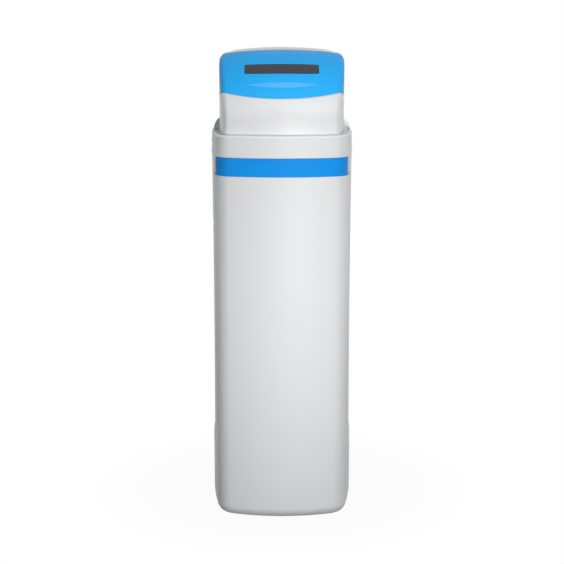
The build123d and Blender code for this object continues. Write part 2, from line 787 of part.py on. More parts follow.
def plate_prism(grow):
    """Prism through the lid with the outline of the name plate."""
    frame = slope_frame(PLATE_TURN)
    shape = RectangleRounded(PLATE_WIDTH + 2 * grow, PLATE_HEIGHT + 2 * grow, PLATE_CORNER)
    return extrude(frame * shape, OVERRUN, both=True)


def grip_prism():
    """Prism through the lid with the outline of the finger grip."""
    frame = slope_frame(GRIP_TURN)
    half = GRIP_WIDTH / 2
    sag = GRIP_HEIGHT / 2
    lens = make_face(
        [ThreePointArc((-half, 0), (0, sag), (half, 0)), ThreePointArc((half, 0), (0, -sag), (-half, 0))]
    )
    return extrude(frame * lens, OVERRUN, both=True)


def make_lid():
    """Blue salt lid with its plate pocket, finger grip and hinge knuckles."""
    keep = block(-WIDTH, WIDTH, FRONT_Y, LID_REAR_Y, LEDGE_Z, HOOD_TOP_Z)
    lid = (head(0) - head(HEAD_SHELL)) & above_smile(PART_GAP / 2) & keep
    pocket = dome(-OVERRUN) - dome(PLATE_THICK - PLATE_PROUD)
    lid -= pocket & plate_prism(PLATE_PLAY)
    scoop = dome(-OVERRUN) - dome(GRIP_DEEP)
    lid -= scoop & grip_prism()
    limit = head(HEAD_SHELL / 2)
    for left, right in knuckle_spans():
        post = block(left, right, HINGE_Y - EYE_R, LID_REAR_Y, HINGE_Z, HOOD_TOP_Z)
        post += cylinder_x(HINGE_Y, HINGE_Z, left, right, EYE_R)
        post -= cylinder_x(HINGE_Y, HINGE_Z, left, right, PIN_R + PIN_PLAY)
        lid += post & limit & keep
    return lid


def make_plate():
    """Bare dark plate set in the lid."""
    skin = dome(-PLATE_PROUD) - dome(PLATE_THICK - PLATE_PROUD)
    return skin & plate_prism(0)


def make_pins():
    """Pair of hinge pins, one through each arm."""
    reach = ARM_WIDTH / 2 + KNUCKLE_GAP + KNUCKLE_WIDTH
    pins = []
    for side in (-1, 1):
        centre = side * HINGE_SPACING / 2
        pins.append(cylinder_x(HINGE_Y, HINGE_Z, centre - reach, centre + reach, PIN_R))
    return Compound(children=pins)


def make_hood():
    """Grey cover over the valve, open below and in front, notched at the rear."""
    shell = hood(0) - hood(HEAD_SHELL)
    half = PIPE_NOTCH_WIDTH / 2
    shell -= block(
        -half, half, REAR_Y - HEAD_INSET - 2 * OVERRUN, REAR_Y, LEDGE_Z, LEDGE_Z + PIPE_NOTCH_HEIGHT
    )
    end = hood(0) & block(
        -WIDTH, WIDTH, HOOD_FRONT_Y, HOOD_FRONT_Y + HEAD_SHELL, LEDGE_Z, LEDGE_Z + HOOD_SHOULDER + HEAD_SHELL
    )
    end -= prism(HEAD_INSET, LEDGE_Z, LEDGE_Z + HOOD_SHOULDER + HEAD_SHELL)
    shell += end
    for x in (-1, 1):
        for y in tab_rows():
            centre = x * (side_at(y, HOOD_SKIRT_INSET) - HEAD_SHELL / 2)
            tab = block(
                centre - HEAD_SHELL / 2,
                centre + HEAD_SHELL / 2,
                y - TAB_WIDTH / 2,
                y + TAB_WIDTH / 2,
                LEDGE_Z - TAB_LENGTH,
                LEDGE_Z + TAB_LENGTH,
            )
            shell += tab & prism(HOOD_SKIRT_INSET, LEDGE_Z - TAB_LENGTH, LEDGE_Z + TAB_LENGTH)
    return shell


# Resin vessel and what stands in it
def vessel(radius, neck, low, high, top):
    """Turned solid with a domed foot, a straight side and a domed shoulder."""
    foot_z = low + TANK_DOME
    shoulder_z = high - TANK_DOME
    outline = [
        EllipticalCenterArc((0, foot_z), radius, TANK_DOME, 270, arc_size=90),
        Line((radius, foot_z), (radius, shoulder_z)),
        EllipticalCenterArc((neck, shoulder_z), radius - neck, TANK_DOME, 0, arc_size=90),
        Line((neck, high), (neck, top)),
        Line((neck, top), (0, top)),
        Line((0, top), (0, low)),
    ]
    return Pos(0, TANK_Y, 0) * revolve(Plane.XZ * make_face(outline), Axis.Z, 360)


def vessel_inside(gap):
    """Hollow of the vessel, less a gap all round."""
    radius = TANK_R - TANK_WALL - gap
    low = TANK_BOTTOM_Z + TANK_WALL + gap
    high = TANK_TOP_Z - TANK_NECK - TANK_WALL - gap
    return vessel(radius, TANK_MOUTH_R, low, high, TANK_TOP_Z)


def make_tank():
    """Wound pressure vessel with an open threaded neck."""
    high = TANK_TOP_Z - TANK_NECK
    outer = vessel(TANK_R, TANK_NECK_R, TANK_BOTTOM_Z, high, TANK_TOP_Z)
    return outer - vessel_inside(0)


def make_boot():
    """Black foot that the domed vessel stands in."""
    rim = cylinder_z(0, TANK_Y, TANK_FOOT_Z, TANK_FOOT_Z + BOOT_HEIGHT, TANK_R + BOOT_WALL)
    rim = fillet(rim.faces().sort_by(Axis.Z)[0].edges(), BOOT_ROUND)
    high = TANK_TOP_Z - TANK_NECK
    seat = vessel(TANK_R, TANK_NECK_R, TANK_BOTTOM_Z, high, TANK_TOP_Z)
    ease = cylinder_z(0, TANK_Y, TANK_BOTTOM_Z + TANK_DOME, TANK_TOP_Z, TANK_R + SEAT)
    hole = cylinder_z(0, TANK_Y, TANK_FOOT_Z, TANK_FOOT_Z + TANK_DOME, BOOT_HOLE_R)
    return rim - seat - ease - hole


def strainer_low():
    """Underside of the lower strainer, clear of the curved vessel floor."""
    share = STRAINER_R / (TANK_R - TANK_WALL)
    rise = TANK_DOME * (1 - math.sqrt(1 - share**2))
    return TANK_BOTTOM_Z + TANK_WALL + SEAT + rise


def riser_low():
    """Lower end of the riser, half way down the strainer socket."""
    return strainer_low() + STRAINER_HEIGHT * 2 / 3


def make_resin():
    """Bed of resin round the riser and its strainer."""
    bed = vessel_inside(SEAT) & block(-WIDTH, WIDTH, -DEPTH, DEPTH, 0, RESIN_LEVEL)
    bed -= cylinder_z(0, TANK_Y, 0, TANK_TOP_Z, RISER_R + SEAT)
    return bed - cylinder_z(0, TANK_Y, 0, strainer_low() + STRAINER_HEIGHT + SEAT, STRAINER_R + SEAT)


def make_riser():
    """Centre tube that carries treated water up."""
    top = TANK_TOP_Z + VALVE_FLANGE / 2
    tube = cylinder_z(0, TANK_Y, riser_low(), top, RISER_R)
    return tube - cylinder_z(0, TANK_Y, riser_low(), top, RISER_R - RISER_WALL)


def slotted(low, high, radius, count):
    """Round basket between two heights with slots cut round it."""
    basket = cylinder_z(0, TANK_Y, low, high, radius)
    pitch = (high - low) / (count + 1)
    for k in range(count):
        z = low + pitch * (k + 1)
        ring = cylinder_z(0, TANK_Y, z, z + STRAINER_SLOT, radius + OVERRUN)
        basket -= ring - cylinder_z(0, TANK_Y, z, z + STRAINER_SLOT, radius - STRAINER_SLOT_DEPTH)
    return basket


def make_strainer():
    """Lower distributor basket under the riser."""
    low = strainer_low()
    high = low + STRAINER_HEIGHT
    basket = slotted(low, high, STRAINER_R, STRAINER_SLOTS)
    basket -= cylinder_z(0, TANK_Y, riser_low(), high, RISER_R)
    return basket - cylinder_z(0, TANK_Y, low + RISER_WALL, riser_low(), RISER_R - RISER_WALL)


def make_top_strainer():
    """Upper distributor basket under the valve plug."""
    high = TANK_TOP_Z - VALVE_PLUG
    low = high - TOP_STRAINER_HEIGHT
    basket = slotted(low, high, TOP_STRAINER_R, STRAINER_SLOTS // 2)
    return basket - cylinder_z(0, TANK_Y, low, high, RISER_R + SEAT)


# Control valve
def port_x(side):
    """Place across of the inlet or outlet."""
    return side * PORT_SPACING / 2


def bore_end():
    """Closed end of the piston bore."""
    return TANK_Y + BARREL_REAR - TANK_WALL


def stack_front():
    """Front end of the seal stack."""
    return BARREL_FRONT_Y + CAP_PLUG


def make_valve_body():
    """Moulded valve: neck plug, flange, stem, barrel, manifold block, ports."""
    body = cylinder_z(0, TANK_Y, TANK_TOP_Z - VALVE_PLUG, TANK_TOP_Z, TANK_MOUTH_R - SEAT)
    body += cylinder_z(0, TANK_Y, TANK_TOP_Z, TANK_TOP_Z + VALVE_FLANGE, VALVE_FLANGE_R)
    body += cylinder_z(0, TANK_Y, TANK_TOP_Z + VALVE_FLANGE, VALVE_Z, VALVE_STEM_R)
    body += cylinder_y(0, VALVE_Z, BARREL_FRONT_Y, TANK_Y + BARREL_REAR, BARREL_R)
    half = BLOCK_WIDTH / 2
    tall = BLOCK_HEIGHT / 2
    body += block(-half, half, BLOCK_Y, BLOCK_Y + BLOCK_DEPTH, VALVE_Z - tall, VALVE_Z + tall)
    boss_y = BLOCK_Y + BLOCK_DEPTH / 2
    boss_z = VALVE_Z + tall
    body += cylinder_z(port_x(-1), boss_y, boss_z, boss_z + INJECTOR_HEIGHT, INJECTOR_R)
    for side in (-1, 1):
        body += cylinder_y(port_x(side), VALVE_Z, BLOCK_Y + BLOCK_DEPTH, PORT_END_Y, PORT_R)
        body -= cylinder_y(port_x(side), VALVE_Z, BLOCK_Y + TANK_WALL, PORT_END_Y, PORT_BORE)
    body -= cylinder_y(0, VALVE_Z, BARREL_FRONT_Y, bore_end(), BORE_R)
    body -= cylinder_z(0, TANK_Y, TANK_TOP_Z - VALVE_PLUG, TANK_TOP_Z + VALVE_FLANGE / 2, RISER_R)
    return body - cylinder_z(0, TANK_Y, TANK_TOP_Z, VALVE_Z - BORE_R / 2, RISER_R - RISER_WALL)


def make_stack():
    """Spacer cage and seals that the piston slides in."""
    front = stack_front()
    back = bore_end()
    cage = cylinder_y(0, VALVE_Z, front, back, STACK_R)
    pitch = (back - front) / STACK_RINGS
    for k in range(STACK_RINGS):
        y = front + pitch * (k + 1 / 2) - STACK_WINDOW / 2
        wide = STACK_BORE / 2
        cage -= block(-BORE_R, BORE_R, y, y + STACK_WINDOW, VALVE_Z - wide, VALVE_Z + wide)
        cage -= block(-wide, wide, y, y + STACK_WINDOW, VALVE_Z - BORE_R, VALVE_Z + BORE_R)
    return cage - cylinder_y(0, VALVE_Z, front, back, STACK_BORE)


def piston_back():
    """Rear face of the piston at rest."""
    return bore_end() - SEAT


def piston_front():
    """Front face of the piston at rest."""
    return piston_back() - PISTON_LENGTH


def make_piston():
    """Spool with grooves that open and close the flow paths."""
    spool = cylinder_y(0, VALVE_Z, piston_front(), piston_back(), PISTON_R)
    pitch = PISTON_LENGTH / (PISTON_GROOVES + 1)
    for k in range(PISTON_GROOVES):
        y = piston_front() + pitch * (k + 1) - PISTON_GROOVE / 2
        ring = cylinder_y(0, VALVE_Z, y, y + PISTON_GROOVE, PISTON_R + OVERRUN)
        spool -= ring - cylinder_y(0, VALVE_Z, y, y + PISTON_GROOVE, PISTON_R - PISTON_GROOVE / 2)
    return spool


def make_rod():
    """Screwed rod that the drive gear pulls and pushes."""
    return cylinder_y(0, VALVE_Z, piston_front() - ROD_LENGTH, piston_front(), ROD_R)


def make_cap():
    """Cap that closes the barrel and holds the seals in."""
    cap = cylinder_y(0, VALVE_Z, CAP_Y, BARREL_FRONT_Y, CAP_R)
    cap += cylinder_y(0, VALVE_Z, BARREL_FRONT_Y, stack_front(), STACK_R)
    return cap - cylinder_y(0, VALVE_Z, CAP_Y, stack_front(), ROD_R + ROD_PLAY)


def gear_profile(teeth, turn):
    """Straight-sided approximation of an involute gear, one tooth at a turn."""
    pitch_r = MODULE * teeth / 2
    tip_share = 0.8
    root_share = 1.1
    pressure = math.radians(20)
    base_r = pitch_r * math.cos(pressure)
    tip_r = pitch_r + MODULE * tip_share
    root_r = pitch_r - MODULE * root_share
    slim = BACKLASH / 4 / pitch_r

    def half_angle(radius):
        """Half the angle that a tooth takes up at a radius."""
        lean = math.acos(base_r / max(radius, base_r))
        curl = math.tan(lean) - lean
        return math.pi / 2 / teeth - slim + math.tan(pressure) - pressure - curl

    points = []
    for k in range(teeth):
        centre = math.radians(turn) + 2 * math.pi * k / teeth
        for radius, side in ((root_r, -1), (tip_r, -1), (tip_r, 1), (root_r, 1)):
            angle = centre + side * half_angle(radius)
            points.append((radius * math.cos(angle), radius * math.sin(angle)))
    return points


def gear(teeth, x, z, front, back, turn):
    """Spur gear whose axis runs from front to back."""
    points = [(x + px, front, z + pz) for px, pz in gear_profile(teeth, turn)]
    return extrude(make_face(Polyline(points, close=True)), back - front, dir=(0, 1, 0))


def idler_place():
    """Axis of the idler beside the drive gear."""
    reach = MODULE * (DRIVE_TEETH + PINION_TEETH) / 2
    turn = math.radians(IDLER_TILT)
    return reach * math.cos(turn), VALVE_Z + reach * math.sin(turn)


def motor_place():
    """Axis of the motor above the idler."""
    x, z = idler_place()
    return x, z + MODULE * (IDLER_TEETH + PINION_TEETH) / 2


def drive_front():
    """Front face of the drive gear."""
    return COVER_BACK_Y - GEAR_BACK - GEAR_FACE


def idler_front():
    """Front face of the large idler gear."""
    return drive_front() - GEAR_STEP - GEAR_FACE


def make_drive_gear():
    """Large gear with a screwed hub on the piston rod."""
    front = drive_front()
    wheel = gear(DRIVE_TEETH, 0, VALVE_Z, front, front + GEAR_FACE, IDLER_TILT)
    wheel += cylinder_y(0, VALVE_Z, front - HUB_LENGTH, front, HUB_R)
    wheel += cylinder_y(0, VALVE_Z, front + GEAR_FACE, PLATE_BACK_Y, HUB_R)
    return wheel - cylinder_y(0, VALVE_Z, front - HUB_LENGTH, PLATE_BACK_Y, ROD_R + ROD_PLAY)


def make_idler():
    """Compound idler: large gear driven by the motor, small gear on the drive."""
    x, z = idler_place()
    facing = IDLER_TILT + 180 + 180 / PINION_TEETH
    front = idler_front()
    middle = drive_front()
    wheel = gear(IDLER_TEETH, x, z, front, front + GEAR_FACE, 90)
    wheel += gear(PINION_TEETH, x, z, front + GEAR_FACE, middle + GEAR_FACE, facing)
    return wheel - cylinder_y(x, z, front, middle + GEAR_FACE, AXLE_R + AXLE_PLAY)


def make_axle():
    """Fixed pin that the idler runs on."""
    x, z = idler_place()
    return cylinder_y(x, z, idler_front() - GEAR_STEP, PLATE_BACK_Y, AXLE_R)


def make_pinion():
    """Motor pinion on its shaft."""
    x, z = motor_place()
    front = idler_front()
    facing = 270 + 180 / PINION_TEETH
    wheel = gear(PINION_TEETH, x, z, front, front + GEAR_FACE, facing)
    return wheel + cylinder_y(x, z, front + GEAR_FACE, PLATE_BACK_Y + MOTOR_LENGTH / 2, MOTOR_SHAFT_R)


def make_motor():
    """Small motor behind the drive plate."""
    x, z = motor_place()
    can = cylinder_y(x, z, PLATE_BACK_Y, PLATE_BACK_Y + MOTOR_LENGTH, MOTOR_R)
    can = fillet(can.faces().sort_by(Axis.Y)[-1].edges(), MOTOR_SHAFT_R)
    depth = MOTOR_LENGTH / 2 + SEAT
    return can - cylinder_y(x, z, PLATE_BACK_Y, PLATE_BACK_Y + depth, MOTOR_SHAFT_R + AXLE_PLAY)


def cover_centre():
    """Middle height of the controller."""
    return COVER_Z + COVER_HEIGHT / 2


def cover_block(inset, front, back):
    """Rounded block with the controller outline."""
    shape = RectangleRounded(COVER_WIDTH - 2 * inset, COVER_HEIGHT - 2 * inset, COVER_ROUND - inset)
    return Pos(0, back, cover_centre()) * Rot(90, 0, 0) * extrude(shape, back - front)


def make_drive_plate():
    """Plate that carries the motor, gears and controller on two posts."""
    plate = cover_block(0, COVER_BACK_Y, PLATE_BACK_Y)
    for side in (-1, 1):
        plate += cylinder_y(side * POST_SPACING / 2, VALVE_Z, PLATE_BACK_Y, BLOCK_Y, POST_R)
    plate -= cylinder_y(0, VALVE_Z, COVER_BACK_Y, PLATE_BACK_Y, HUB_R + AXLE_PLAY)
    x, z = idler_place()
    plate -= cylinder_y(x, z, COVER_BACK_Y, PLATE_BACK_Y, AXLE_R)
    x, z = motor_place()
    plate -= cylinder_y(x, z, COVER_BACK_Y, PLATE_BACK_Y, MOTOR_SHAFT_R + SEAT)
    return plate - cylinder_y(POWER_SIDE, power_z(), COVER_BACK_Y, PLATE_BACK_Y, POWER_R)


def power_z():
    """Height of the power inlet."""
    return COVER_Z + POWER_R + COVER_ROUND


def make_power_inlet():
    """Round inlet for the low-voltage lead, at the back of the plate."""
    inlet = cylinder_y(POWER_SIDE, power_z(), COVER_BACK_Y, PLATE_BACK_Y + POWER_LENGTH, POWER_R)
    bore = PLATE_BACK_Y + BRACKET
    return inlet - cylinder_y(POWER_SIDE, power_z(), bore, PLATE_BACK_Y + POWER_LENGTH, POWER_R / 2)


def button_places():
    """Places across of the buttons."""
    middle = (BUTTON_COUNT - 1) / 2
    return [(k - middle) * BUTTON_PITCH for k in range(BUTTON_COUNT)]


def boss_places():
    """Places of the bosses that carry the board."""
    across = BOARD_WIDTH / 2 - BOSS_R
    up = BOARD_HEIGHT / 2 - BOSS_R
    middle = BOARD_Z + BOARD_HEIGHT / 2
    return [(sx * across, middle + sz * up) for sx in (-1, 1) for sz in (-1, 1)]


def make_cover():
    """Controller cover with a display window and button holes."""
    cover = cover_block(0, COVER_FRONT_Y, COVER_BACK_Y)
    cover = fillet(cover.faces().sort_by(Axis.Y)[0].edges(), COVER_WALL)
    inner = COVER_FRONT_Y + COVER_WALL
    cover -= cover_block(COVER_WALL, inner, COVER_BACK_Y)
    wide = DISPLAY_WIDTH / 2
    tall = DISPLAY_HEIGHT / 2
    cover -= block(-wide, wide, COVER_FRONT_Y, inner, DISPLAY_Z - tall, DISPLAY_Z + tall)
    for x in button_places():
        cover -= cylinder_y(x, BUTTON_Z, COVER_FRONT_Y, inner, BUTTON_R + BUTTON_PLAY)
    for x, z in boss_places():
        cover += cylinder_y(x, z, inner, BOARD_Y, BOSS_R)
    return cover


def make_pane():
    """Clear pane bonded behind the display window."""
    wide = DISPLAY_WIDTH / 2 + DISPLAY_BEZEL
    tall = DISPLAY_HEIGHT / 2 + DISPLAY_BEZEL
    inner = COVER_FRONT_Y + COVER_WALL
    return block(-wide, wide, inner, inner + WINDOW_PANE, DISPLAY_Z - tall, DISPLAY_Z + tall)


def make_display():
    """Liquid crystal display on the board."""
    wide = DISPLAY_WIDTH / 2
    tall = DISPLAY_HEIGHT / 2
    return block(-wide, wide, BOARD_Y - DISPLAY_THICK, BOARD_Y, DISPLAY_Z - tall, DISPLAY_Z + tall)


def make_board():
    """Circuit board with a switch behind each button."""
    wide = BOARD_WIDTH / 2
    board = block(-wide, wide, BOARD_Y, BOARD_Y + BOARD_THICK, BOARD_Z, BOARD_Z + BOARD_HEIGHT)
    for x in button_places():
        board += cylinder_y(x, BUTTON_Z, BOARD_Y - SWITCH_THICK, BOARD_Y, SWITCH_R)
    return board


def make_button(x):
    """Push button with a flange that keeps it in its hole."""
    inner = COVER_FRONT_Y + COVER_WALL
    front = COVER_FRONT_Y - BUTTON_PROUD
    flange = inner + BUTTON_PLAY
    back = flange + BUTTON_FLANGE_THICK
    stem_end = BOARD_Y - SWITCH_THICK - BUTTON_TRAVEL - SEAT / 2
    button = cylinder_y(x, BUTTON_Z, front, flange, BUTTON_R)
    button = fillet(button.faces().sort_by(Axis.Y)[0].edges(), BUTTON_FLANGE_THICK)
    button += cylinder_y(x, BUTTON_Z, flange, back, BUTTON_R + BUTTON_FLANGE)
    return button + cylinder_y(x, BUTTON_Z, back, stem_end, BUTTON_STEM)


# Meter turbine in the outlet
def holder_front():
    """Front face of the turbine holder."""
    return PORT_END_Y - HOLDER_LENGTH * 2


def turbine_back():
    """Rear face of the turbine."""
    return holder_front() - HOLDER_RING


def make_holder():
    """Ring with three spokes and the pin that the turbine spins on."""
    x = port_x(1)
    front = holder_front()
    back = front + HOLDER_LENGTH
    ring = cylinder_y(x, VALVE_Z, front, back, PORT_BORE)
    ring -= cylinder_y(x, VALVE_Z, front, back, PORT_BORE - HOLDER_RING)
    spoke_end = PORT_BORE - HOLDER_RING / 2
    for k in range(3):
        spoke = block(0, spoke_end, front, back, -BLADE_THICK, BLADE_THICK)
        ring += Pos(x, 0, VALVE_Z) * Rot(0, 120 * k + 90, 0) * spoke
    ring += cylinder_y(x, VALVE_Z, front, back, TURBINE_HUB)
    return ring + cylinder_y(x, VALVE_Z, turbine_back() - TURBINE_LENGTH - SEAT, front, AXLE_R)


def make_turbine():
    """Meter wheel with pitched blades."""
    x = port_x(1)
    back = turbine_back()
    front = back - TURBINE_LENGTH
    wheel = cylinder_y(x, VALVE_Z, front, back, TURBINE_HUB)
    rim = cylinder_y(0, 0, front, back, TURBINE_R)
    for k in range(TURBINE_BLADES):
        blade = Box(TURBINE_R, TURBINE_LENGTH / math.cos(math.radians(IDLER_TILT)), BLADE_THICK)
        blade = Pos(TURBINE_R / 2 + TURBINE_HUB / 2, (front + back) / 2, 0) * Rot(IDLER_TILT, 0, 0) * blade
        blade = rim & blade
        wheel += Pos(x, 0, VALVE_Z) * Rot(0, 360 / TURBINE_BLADES * k, 0) * blade
    return wheel - cylinder_y(x, VALVE_Z, front, back, AXLE_R + AXLE_PLAY)


# Bypass behind the valve
def bypass_end():
    """Rear end of the bypass tubes."""
    return PORT_END_Y + BYPASS_LENGTH


def rotor_y():
    """Line of the bypass rotors."""
    return PORT_END_Y + BYPASS_LENGTH / 2


def hexagon_y(x, z, front, back, radius):
    """Hexagonal bar from front to back."""
    return Pos(x, back, z) * Rot(90, 0, 0) * extrude(RegularPolygon(radius, 6), back - front)


def make_unions():
    """Nuts that join the bypass to the valve ports."""
    nuts = []
    for side in (-1, 1):
        x = port_x(side)
        front = PORT_END_Y - UNION_LENGTH / 2
        back = PORT_END_Y + UNION_LENGTH / 2
        nut = hexagon_y(x, VALVE_Z, front, back, UNION_R)
        nuts.append(nut - cylinder_y(x, VALVE_Z, front, back, PORT_R))
    return Compound(children=nuts)


def make_bypass():
    """Twin-tube bypass with a rotor housing in each line and a cross tube."""
    low = VALVE_Z - ROTOR_HOUSING_HEIGHT / 2
    high = VALVE_Z + ROTOR_HOUSING_HEIGHT / 2
    body = cylinder_x(rotor_y(), VALVE_Z, port_x(-1), port_x(1), CROSS_R)
    for side in (-1, 1):
        x = port_x(side)
        body += cylinder_y(x, VALVE_Z, PORT_END_Y, bypass_end(), BYPASS_TUBE_R)
        body += cylinder_z(x, rotor_y(), low, high, ROTOR_HOUSING_R)
    body -= cylinder_x(rotor_y(), VALVE_Z, port_x(-1), port_x(1), CROSS_R - TANK_WALL)
    for side in (-1, 1):
        x = port_x(side)
        body -= cylinder_y(x, VALVE_Z, PORT_END_Y, bypass_end(), PORT_BORE)
        body -= cylinder_z(x, rotor_y(), low + ROTOR_FLOOR, high, ROTOR_R + ROTOR_PLAY)
    return body


def make_rotor(side):
    """Bypass rotor with its through way and its arrow-shaped handle."""
    x = port_x(side)
    y = rotor_y()
    low = VALVE_Z - ROTOR_HOUSING_HEIGHT / 2 + ROTOR_FLOOR + SEAT
    top = VALVE_Z + ROTOR_HOUSING_HEIGHT / 2 + SEAT * 2
    rotor = cylinder_z(x, y, low, top, ROTOR_R)
    rotor -= cylinder_y(x, VALVE_Z, y - 2 * ROTOR_R, y + 2 * ROTOR_R, STUB_BORE)
    outer = x + side * 2 * ROTOR_R
    rotor -= cylinder_x(y, VALVE_Z, min(x, outer), max(x, outer), CROSS_R - TANK_WALL)
    knob = cylinder_z(x, y, top, top + KNOB_HEIGHT, KNOB_R)
    half = KNOB_ARM_WIDTH / 2
    reach = KNOB_ARM - half
    knob += block(x - half, x + half, y - reach, y + reach, top, top + KNOB_HEIGHT)
    root = y + side * reach
    corners = [(x - half, root, top), (x + half, root, top), (x, y + side * KNOB_ARM, top)]
    nose = make_face(Polyline(corners, close=True))
    return rotor + knob + extrude(nose, KNOB_HEIGHT, dir=(0, 0, 1))


def make_stubs():
    """Male pipe ends of the inlet and the outlet."""
    stubs = []
    for side in (-1, 1):
        x = port_x(side)
        back = bypass_end() + STUB_LENGTH
        stub = cylinder_y(x, VALVE_Z, bypass_end(), back, STUB_R)
        stub = chamfer(stub.faces().sort_by(Axis.Y)[-1].edges(), STUB_CHAMFER)
        shoulder = bypass_end() + STUB_NUT_LENGTH / 2
        stub += cylinder_y(x, VALVE_Z, bypass_end(), shoulder, STUB_SHOULDER_R)
        stubs.append(stub - cylinder_y(x, VALVE_Z, bypass_end(), back, STUB_BORE))
    return Compound(children=stubs)


def make_stub_nuts():
    """Nuts that hold the pipe ends on the bypass."""
    nuts = []
    for side in (-1, 1):
        x = port_x(side)
        front = bypass_end() - STUB_NUT_LENGTH / 2
        back = bypass_end() + STUB_NUT_LENGTH / 2
        nut = hexagon_y(x, VALVE_Z, front, back, UNION_R)
        nut -= cylinder_y(x, VALVE_Z, front, bypass_end(), BYPASS_TUBE_R)
        nuts.append(nut - cylinder_y(x, VALVE_Z, bypass_end(), back, STUB_SHOULDER_R))
    return Compound(children=nuts)


# Drain, brine and injector
def elbow_y():
    """Line of the side connections on the manifold block."""
    return BLOCK_Y + BLOCK_DEPTH / 2


def elbow_z():
    """Height of the side connections on the manifold block."""
    return VALVE_Z + ELBOW_UP


def make_drain():
    """Drain elbow that runs to the rear and ends in a hose spigot."""
    side = BLOCK_WIDTH / 2
    x = side + ELBOW_REACH
    y = elbow_y()
    z = elbow_z()
    back = y + DRAIN_LENGTH
    pipe = cylinder_x(y, z, side, x, ELBOW_R)
    pipe += Pos(x, y, z) * Sphere(ELBOW_R)
    pipe += cylinder_y(x, z, y, back, ELBOW_R)
    stop = back - DRAIN_SPIGOT
    pipe += cylinder_y(x, z, stop - DRAIN_STOP, stop, DRAIN_STOP_R)
    pipe -= cylinder_x(y, z, side, x, ELBOW_BORE)
    return pipe - cylinder_y(x, z, y, back, ELBOW_BORE)


def line_x():
    """Place across of the brine line, the same as the pick-up tube."""
    return WELL_X - PICKUP_OFFSET


def make_brine_elbow():
    """Elbow on the left of the block that turns down to the brine line."""
    side = -BLOCK_WIDTH / 2
    x = line_x()
    y = elbow_y()
    z = elbow_z()
    pipe = cylinder_x(y, z, x, side, ELBOW_R)
    pipe += Pos(x, y, z) * Sphere(ELBOW_R)
    pipe += cylinder_z(x, y, z - BRINE_DROP, z, ELBOW_R)
    pipe -= cylinder_x(y, z, x, side, LINE_BORE)
    return pipe - cylinder_z(x, y, z - BRINE_DROP, z, LINE_BORE)


def arm_end():
    """Rear end of the brine valve arm, where the line starts."""
    return WELL_Y + WELL_R - 2 * PICKUP_R


def make_line():
    """Brine line from the valve down to the safety float."""
    x = line_x()
    run_z = TANK_TOP_Z - TANK_NECK + LINE_R + LINE_ABOVE_DOME
    front = TANK_Y - math.sqrt(TANK_R**2 - x**2) - LINE_BEND
    ahead = WELL_Y + WELL_R + LINE_BEND
    points = [
        (x, elbow_y(), elbow_z() - BRINE_DROP),
        (x, elbow_y(), run_z),
        (x, front, run_z),
        (x, ahead, LINE_ENTRY_Z),
        (x, arm_end(), LINE_ENTRY_Z),
    ]
    path = FilletPolyline(*points, radius=LINE_BEND)
    end = Plane(origin=path @ 0, z_dir=path % 0)
    ring = end * (Circle(LINE_R) - Circle(LINE_BORE))
    return sweep(ring, path=path)


def make_injector_cap():
    """Screw cap over the injector."""
    y = elbow_y()
    z = VALVE_Z + BLOCK_HEIGHT / 2 + INJECTOR_HEIGHT
    cap = cylinder_z(port_x(-1), y, z, z + INJECTOR_CAP, INJECTOR_CAP_R)
    return fillet(cap.faces().sort_by(Axis.Z)[-1].edges(), INJECTOR_CAP / 4)


# Brine well and safety float
def make_well():
    """Tube that keeps salt away from the float, slotted at its foot."""
    tube = cylinder_z(WELL_X, WELL_Y, FLOOR, WELL_TOP_Z, WELL_R)
    tube -= cylinder_z(WELL_X, WELL_Y, FLOOR, WELL_TOP_Z, WELL_R - WELL_WALL)
    low = FLOOR + WELL_SLOT_UP
    half = WELL_SLOT_WIDTH / 2
    slot = block(0, WELL_R + OVERRUN, -half, half, low, low + WELL_SLOT_HEIGHT)
    for k in range(WELL_SLOTS):
        tube -= Pos(WELL_X, WELL_Y, 0) * Rot(0, 0, 360 / WELL_SLOTS * k) * slot
    hole = cylinder_y(line_x(), LINE_ENTRY_Z, WELL_Y, WELL_Y + WELL_R + OVERRUN, LINE_R + SEAT)
    return tube - hole


def make_well_cap():
    """Lift-off cap of the brine well with a finger bar."""
    inner = WELL_R + WELL_CAP_GAP
    outer = inner + WELL_CAP_WALL
    low = WELL_TOP_Z - WELL_CAP_SKIRT
    high = WELL_TOP_Z + SEAT + WELL_CAP_WALL
    cap = cylinder_z(WELL_X, WELL_Y, low, high, outer)
    cap -= cylinder_z(WELL_X, WELL_Y, low, WELL_TOP_Z + SEAT, inner)
    half = WELL_CAP_WALL
    return cap + block(
        WELL_X - WELL_R / 2, WELL_X + WELL_R / 2, WELL_Y - half, WELL_Y + half, high, high + WELL_CAP_GRIP
    )


def make_air_check():
    """Air check at the foot of the pick-up tube."""
    check = cylinder_z(line_x(), WELL_Y, FLOOR, FLOOR + CHECK_HEIGHT, CHECK_R)
    return fillet(check.faces().sort_by(Axis.Z)[-1].edges(), CHECK_R / 3)


def valve_block_low():
    """Underside of the brine valve body."""
    return LINE_ENTRY_Z - VALVE_BLOCK_HEIGHT / 2


def make_pickup():
    """Tube that draws brine from the foot of the well."""
    low = FLOOR + CHECK_HEIGHT
    tube = cylinder_z(line_x(), WELL_Y, low, valve_block_low(), PICKUP_R)
    return tube - cylinder_z(line_x(), WELL_Y, low, valve_block_low(), LINE_BORE)


def float_x():
    """Place across of the float rod."""
    return WELL_X + FLOAT_OFFSET


def guide_z():
    """Underside of the arm that guides the float rod."""
    return valve_block_low() + GUIDE_THICK


